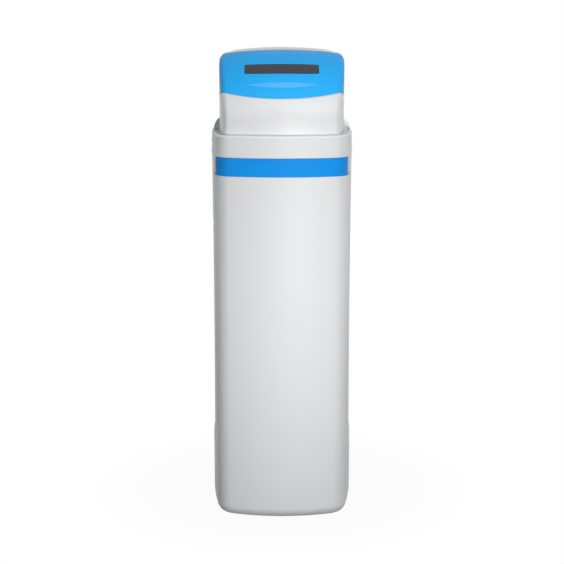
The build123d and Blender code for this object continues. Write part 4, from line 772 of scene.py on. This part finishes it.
@dataclass(frozen=True)
class GripPaintedHighlight:
    """Gives the finger grip's scooped faces a paler blue, a painted highlight.

    Attributes:
        skin: Slide that tells where the lid's skin lies.
        finish: Finish of the scoop.
        along_mm: Reach of the scoop along the skin, after the slide.
        deep_mm: Least and greatest depth of the faces under the skin.
        facing: Least share of a face's direction that points out of the skin.
    """

    skin: SkinSlide
    # finish: Finish of the scoop, paler than the lid as a painted highlight.
    finish: Finish
    along_mm: tuple[float, float] = (22.0, 64.0)
    deep_mm: tuple[float, float] = (0.12, 9.0)
    facing: float = 0.2

    def paint(self, piece: bpy.types.Object) -> None:
        """Give the scooped faces of a piece the paler finish, a painted highlight.

        Args:
            piece: Copy of the lid.
        """
        # Material slot of the paler blue, a painted highlight.
        tone = len(piece.data.materials)
        piece.data.materials.append(self.finish.material())
        for face in piece.data.polygons:
            out, up, along = self.skin.on_arc(face.center)
            reach = math.hypot(out, up)
            facing = (face.normal.z * up - face.normal.y * out) / reach
            deep = self.skin.skin_mm - reach
            beside = abs(face.center.x) / MM
            within = self.along_mm[0] < along < self.along_mm[1] and beside < self.skin.fade_mm[0]
            if within and facing > self.facing and self.deep_mm[0] < deep < self.deep_mm[1]:
                face.material_index = tone


# A change of shape that a copy takes
Fit = SkinSlide | CrownDrop | SeamGap


@dataclass
class Eased:
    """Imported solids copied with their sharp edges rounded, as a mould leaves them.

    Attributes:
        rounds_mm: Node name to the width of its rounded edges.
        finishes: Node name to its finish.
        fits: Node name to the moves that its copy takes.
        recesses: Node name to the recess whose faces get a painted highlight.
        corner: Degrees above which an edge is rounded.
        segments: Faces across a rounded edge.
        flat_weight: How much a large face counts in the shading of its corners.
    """

    rounds_mm: dict[str, float]
    finishes: dict[str, Finish]
    fits: dict[str, list[Fit]] = field(default_factory=dict)
    recesses: dict[str, GripPaintedHighlight] = field(default_factory=dict)
    corner: float = 40.0
    segments: int = 2
    flat_weight: int = 80

    def build(self, frame: dict) -> None:
        """Copy and round each node.
        """
        for name, width in self.rounds_mm.items():
            node = frame["nodes"][name]
            shape = bmesh.new()
            shape.from_mesh(node.data)
            bmesh.ops.remove_doubles(shape, verts=shape.verts, dist=MERGE_MM * MM)
            for fit in self.fits.get(name, []):
                fit.move(shape)
            sharp = [
                edge
                for edge in shape.edges
                if len(edge.link_faces) == 2 and edge.calc_face_angle(0.0) > math.radians(self.corner)
            ]
            bmesh.ops.bevel(
                shape,
                geom=sharp,
                offset=width * MM,
                affect="EDGES",
                segments=self.segments,
                profile=0.5,
                material=-1,
                clamp_overlap=False,
            )
            bmesh.ops.triangulate(shape, faces=[face for face in shape.faces if len(face.verts) > 4])
            for face in shape.faces:
                face.smooth = True
            body = body_of(frame, name)
            piece = finished(shape, name + "_moulded", self.finishes[name], body, outward=False)
            # The grip's scooped faces get a paler blue, a painted highlight.
            if name in self.recesses:
                self.recesses[name].paint(piece)
            normals = piece.modifiers.new("weighted", "WEIGHTED_NORMAL")
            normals.weight = self.flat_weight
            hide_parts(name)


def body_of(frame: dict, node: str) -> str:
    """Return the body that carries a node.

    Args:
        node: Name of the node.

    Returns:
        Name of the body.
    """
    for body, carried in frame["record"]["behaviour"]["bodies"].items():
        if node in carried:
            return body
    raise KeyError(node)


@dataclass
class RibbedNuts:
    """Pair of union nuts with grip ribs round them.

    Attributes:
        node: Node that the pair stands for.
        bore_mm: Radius of the hole.
        ribs: Grip ribs round each nut.
        rib_mm: Width of a rib.
        rib_ease_mm: Rounding of a rib's edges.
        ring_share: Radius of the ring as a share of the ribs' reach.
        ease_mm: Rounding of the ring's edges.
        steps: Faces round the ring.
    """

    node: str
    bore_mm: float
    ribs: int = 24
    rib_mm: float = 2.2
    rib_ease_mm: float = 0.4
    ring_share: float = 0.93
    ease_mm: float = 0.5
    steps: int = 72

    def build(self, frame: dict) -> None:
        """Build both nuts as one piece.
        """
        low, high = (Vector(corner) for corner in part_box(self.node))
        reach = (high.z - low.z) / 2 / MM
        long = (high.y - low.y) / MM
        shape = bmesh.new()
        side_x = high.x - reach * MM
        for side in (-side_x, side_x):
            centre = Vector((side, high.y, (low.z + high.z) / 2))
            place = Matrix.Translation(centre) @ Matrix.Rotation(math.pi / 2, 4, "X")
            ring = reach * self.ring_share
            ease = self.ease_mm
            profile = [
                (self.bore_mm, 0.0),
                (ring - ease, 0.0),
                (ring, ease),
                (ring, long - ease),
                (ring - ease, long),
                (self.bore_mm, long),
            ]
            turned(shape, profile, place, self.steps)
            for k in range(self.ribs):
                turn = Matrix.Rotation(math.tau * k / self.ribs, 4, "Z")
                self.rib(shape, place @ turn, ring, reach, long)
        body = body_of(frame, self.node)
        piece = finished(shape, self.node + "_ribbed", VALVE_BLACK, body)
        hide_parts(self.node)

    def rib(
        self, shape: bmesh.types.BMesh, place: Matrix, ring: float, reach: float, long: float
    ) -> None:
        """Add one rib, rounded along its edges.

        Args:
            shape: Mesh that takes the rib.
            place: Matrix of the nut, turned to the rib.
            ring: Radius of the ring in millimetres.
            reach: Radius of the rib's top in millimetres.
            long: Length of the nut in millimetres.
        """
        own = bmesh.new()
        root = ring - 2 * self.ease_mm
        bmesh.ops.create_cube(own, size=1.0)
        height = long - 2 * self.ease_mm
        size = Matrix.Diagonal(((reach - root) * MM, self.rib_mm * MM, height * MM, 1.0))
        middle = Matrix.Translation(((reach + root) / 2 * MM, 0.0, long / 2 * MM))
        bmesh.ops.transform(own, matrix=middle @ size, verts=own.verts)
        bmesh.ops.bevel(
            own,
            geom=own.edges[:],
            offset=self.rib_ease_mm * MM,
            affect="EDGES",
            segments=2,
            profile=0.5,
            material=-1,
        )
        bmesh.ops.transform(own, matrix=place, verts=own.verts)
        joined(shape, own)


@dataclass
class PanScrews:
    """Pan head screws with a round well for the driver, three along the foot of the bulkhead.

    Attributes:
        node: Node that they stand for.
        head_mm: Radius of a head.
        rise_mm: Height of a head.
        crown: Outline of the head's top as shares of its radius and height.
        shank_mm: Radius of the shank.
        point_mm: Length of the point.
        point_share: Radius of the point's end as a share of the shank's.
        well_mm: Radius of the well at its mouth and at its floor.
        well_floor: Height of the well's floor as a share of the head's.
        steps: Faces round a screw.
    """

    node: str = "housing_screws"
    head_mm: float = 4.0
    rise_mm: float = 2.4
    crown: tuple[tuple[float, float], ...] = ((1.0, 0.0), (1.0, 0.45), (0.86, 0.8), (0.6, 0.97))
    shank_mm: float = 1.95
    point_mm: float = 1.0
    point_share: float = 0.6
    well_mm: tuple[float, float] = (2.1, 0.9)
    well_floor: float = 0.35
    steps: int = 40

    def build(self, frame: dict) -> None:
        """Build the screws as one piece.
        """
        low, high = (Vector(corner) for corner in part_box(self.node))
        shape = bmesh.new()
        reach = high.x - self.head_mm * MM
        under = high.z - self.rise_mm * MM
        long = (under - low.z) / MM
        for x in (-reach, 0.0, reach):
            place = Matrix.Translation((x, (low.y + high.y) / 2, under))
            turned(shape, self.outline(long), place, self.steps)
        body = body_of(frame, self.node)
        piece = finished(shape, self.node + "_turned", STEEL, body)
        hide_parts(self.node)

    def outline(self, long: float) -> list[tuple[float, float]]:
        """Return the outline of one screw, from the point up and into the well.

        Args:
            long: Length under the head in millimetres.

        Returns:
            Radius and height of each corner in millimetres.
        """
        mouth, floor = self.well_mm
        floor_rise = self.rise_mm * self.well_floor
        return [
            (CORE_MM, -long),
            (self.shank_mm * self.point_share, -long),
            (self.shank_mm, -long + self.point_mm),
            (self.shank_mm, 0.0),
            *((self.head_mm * share, self.rise_mm * level) for share, level in self.crown),
            (mouth, self.rise_mm),
            (floor, floor_rise),
            (CORE_MM, floor_rise),
        ]


# Studio
@dataclass
class Lamp:
    """One soft box of the studio.

    Attributes:
        name: What the lamp is for.
        place: Where it stands.
        aim: Point that it faces.
        size: Width and height of its face.
        power: Watts.
        spread_deg: Angle that the light fans out to, narrower behind a grid.
    """

    name: str
    place: tuple[float, float, float]
    aim: tuple[float, float, float]
    size: tuple[float, float]
    power: float
    spread_deg: float = 180.0

    def build(self) -> None:
        """Stand the lamp in the scene."""
        light = bpy.data.lights.new(self.name, "AREA")
        light.shape = "RECTANGLE"
        light.size, light.size_y = self.size
        light.energy = self.power
        light.spread = math.radians(self.spread_deg)
        holder = bpy.data.objects.new(self.name, light)
        bpy.context.scene.collection.objects.link(holder)
        holder.location = self.place
        way = Vector(self.aim) - Vector(self.place)
        holder.rotation_euler = way.to_track_quat("-Z", "Y").to_euler()


@dataclass
class Studio:
    """Camera, lamps, floor and background.

    Attributes:
        camera_place: Where the camera stands.
        pitch: Degrees that it looks down.
        focal_px: Focal length in pixels of the picture.
        picture_px: Width of the picture in pixels.
        sensor_mm: Width of the camera's sensor.
        world_level: Strength of the even light from all round.
        floor_reach: Reach of the floor each way from the middle.
        floor_colour: Colour of the floor's share that takes the shadow, in sRGB hex.
        floor_glow: Share of plain white in the floor beside the object.
        shadow_reach: Distances between which the floor turns wholly white.
    """

    camera_place: tuple[float, float, float] = (0.0005, -3.35, 1.181)
    pitch: float = 11.02
    focal_px: float = 1368.0
    picture_px: float = 564.0
    sensor_mm: float = 36.0
    world_level: float = 0.07
    floor_reach: float = 12.0
    floor_colour: str = "#484848"
    floor_glow: float = 0.96
    shadow_reach: tuple[float, float] = (0.26, 0.5)
    lamps: list[Lamp] = field(
        default_factory=lambda: [
            Lamp("key_softbox", (0.8, -2.0, 2.45), (0.0, -0.2, 0.75), (0.9, 0.9), power=24.0),
            Lamp(
                "front_softbox",
                (0.5, -2.6, 0.55),
                (0.02, 0.0, 0.46),
                (0.6, 0.6),
                power=4.7,
                spread_deg=64.0,
            ),
            Lamp("fill_softbox", (-1.9, -2.4, 1.3), (0.0, 0.0, 0.6), (1.0, 1.6), power=8.0),
            Lamp("left_backdrop_glow", (-1.8, 1.3, 0.9), (-0.1, 0.0, 0.6), (1.2, 1.8), power=8.0),
            Lamp("right_backdrop_glow", (1.8, 1.3, 0.9), (0.1, 0.0, 0.6), (1.2, 1.8), power=9.0),
            Lamp("rear_softbox", (0.0, 2.9, 0.6), (0.0, 0.2, 0.6), (1.2, 0.8), power=22.0),
            Lamp("top_softbox", (0.1, -0.7, 2.7), (0.0, -0.1, 1.0), (0.7, 0.7), power=8.5),
        ]
    )

    def build(self) -> None:
        """Set up the studio."""
        scene = bpy.context.scene
        scene.view_settings.view_transform = "Standard"
        lens = bpy.data.cameras.new("camera")
        lens.sensor_width = self.sensor_mm
        lens.lens = self.focal_px / self.picture_px * self.sensor_mm
        holder = bpy.data.objects.new("camera", lens)
        scene.collection.objects.link(holder)
        holder.location = self.camera_place
        holder.rotation_euler = (math.radians(90 - self.pitch), 0.0, 0.0)
        scene.camera = holder
        for lamp in self.lamps:
            lamp.build()
        self.background(scene)
        self.floor()

    def seen(self, tree: bpy.types.NodeTree, path: bpy.types.Node) -> bpy.types.NodeSocket:
        """Mark the rays that show the background: from the camera, off a gloss or through glass.

        Args:
            tree: Node tree of the world or the floor.
            path: Its light path node.

        Returns:
            Output that is one on such rays.
        """
        gloss = add(
            tree,
            "ShaderNodeMath",
            {0: path.outputs["Is Glossy Ray"], 1: path.outputs["Is Transmission Ray"]},
            operation="MAXIMUM",
        )
        both = add(
            tree,
            "ShaderNodeMath",
            {0: path.outputs["Is Camera Ray"], 1: gloss.outputs[0]},
            operation="MAXIMUM",
        )
        return both.outputs[0]

    def background(self, scene: bpy.types.Scene) -> None:
        """Make the world white to the eye and dim as a light.

        Args:
            scene: Scene that takes the world.
        """
        world = bpy.data.worlds.new("studio")
        scene.world = world
        world.use_nodes = True
        tree = world.node_tree
        tree.nodes.clear()
        path = add(tree, "ShaderNodeLightPath")
        seen = self.seen(tree, path)
        dim = add(tree, "ShaderNodeBackground", {"Color": (1, 1, 1, 1), "Strength": self.world_level})
        white = add(tree, "ShaderNodeBackground", {"Color": (1, 1, 1, 1), "Strength": 1.0})
        mixed = add(tree, "ShaderNodeMixShader", {0: seen, 1: dim.outputs[0], 2: white.outputs[0]})
        add(tree, "ShaderNodeOutputWorld", {"Surface": mixed.outputs[0]})

    def floor(self) -> None:
        """Lay the pale floor, which keeps a faint shadow."""
        shape = bmesh.new()
        bmesh.ops.create_grid(shape, x_segments=1, y_segments=1, size=self.floor_reach)
        mesh = bpy.data.meshes.new("floor")
        shape.to_mesh(mesh)
        shape.free()
        ground = bpy.data.objects.new("floor", mesh)
        bpy.context.scene.collection.objects.link(ground)
        material = bpy.data.materials.new("paper_sweep_white")
        material.use_nodes = True
        tree = material.node_tree
        tree.nodes.clear()
        path = add(tree, "ShaderNodeLightPath")
        # The sweep is lit to white away from the object, whose shadow stays near its foot.
        place = add(tree, "ShaderNodeTexCoord").outputs["Object"]
        away = add(tree, "ShaderNodeVectorMath", {0: place}, operation="LENGTH")
        near, far = self.shadow_reach
        fade = add(
            tree,
            "ShaderNodeMapRange",
            {0: away.outputs["Value"], 1: near, 2: far, 3: self.floor_glow, 4: 1.0},
        )
        matte = add(tree, "ShaderNodeBsdfDiffuse", {"Color": linear(self.floor_colour)})
        glow = add(tree, "ShaderNodeEmission", {"Color": (1, 1, 1, 1), "Strength": 1.0})
        share = add(
            tree, "ShaderNodeMath", {0: self.seen(tree, path), 1: fade.outputs[0]}, operation="MULTIPLY"
        )
        mixed = add(
            tree, "ShaderNodeMixShader", {0: share.outputs[0], 1: matte.outputs[0], 2: glow.outputs[0]}
        )
        add(tree, "ShaderNodeOutputMaterial", {"Surface": mixed.outputs[0]})
        mesh.materials.append(material)


def main() -> None:
    """Build the scene in order."""
    logging.basicConfig(level=logging.INFO)
    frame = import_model()
    Studio().build()
    SOLIDS.dress(frame)
    skin = SkinSlide()
    fits = {
        "salt_lid": [skin],
        "name_plate": [skin],
        "rear_hood": [CrownDrop()],
        "collar": [SeamGap()],
    }
    # The lid's finger grip gets a paler blue, a painted highlight.
    recesses = {"salt_lid": GripPaintedHighlight(skin, GRIP_BLUE_PAINTED_HIGHLIGHT)}
    Eased(EDGE_ROUNDS_MM, SOLIDS.finishes, fits, recesses).build(frame)
    for nuts in ("union_nuts", "stub_nuts"):
        RibbedNuts(nuts, bore_mm=17.0).build(frame)
    PanScrews().build(frame)


if __name__ == "__main__":
    main()
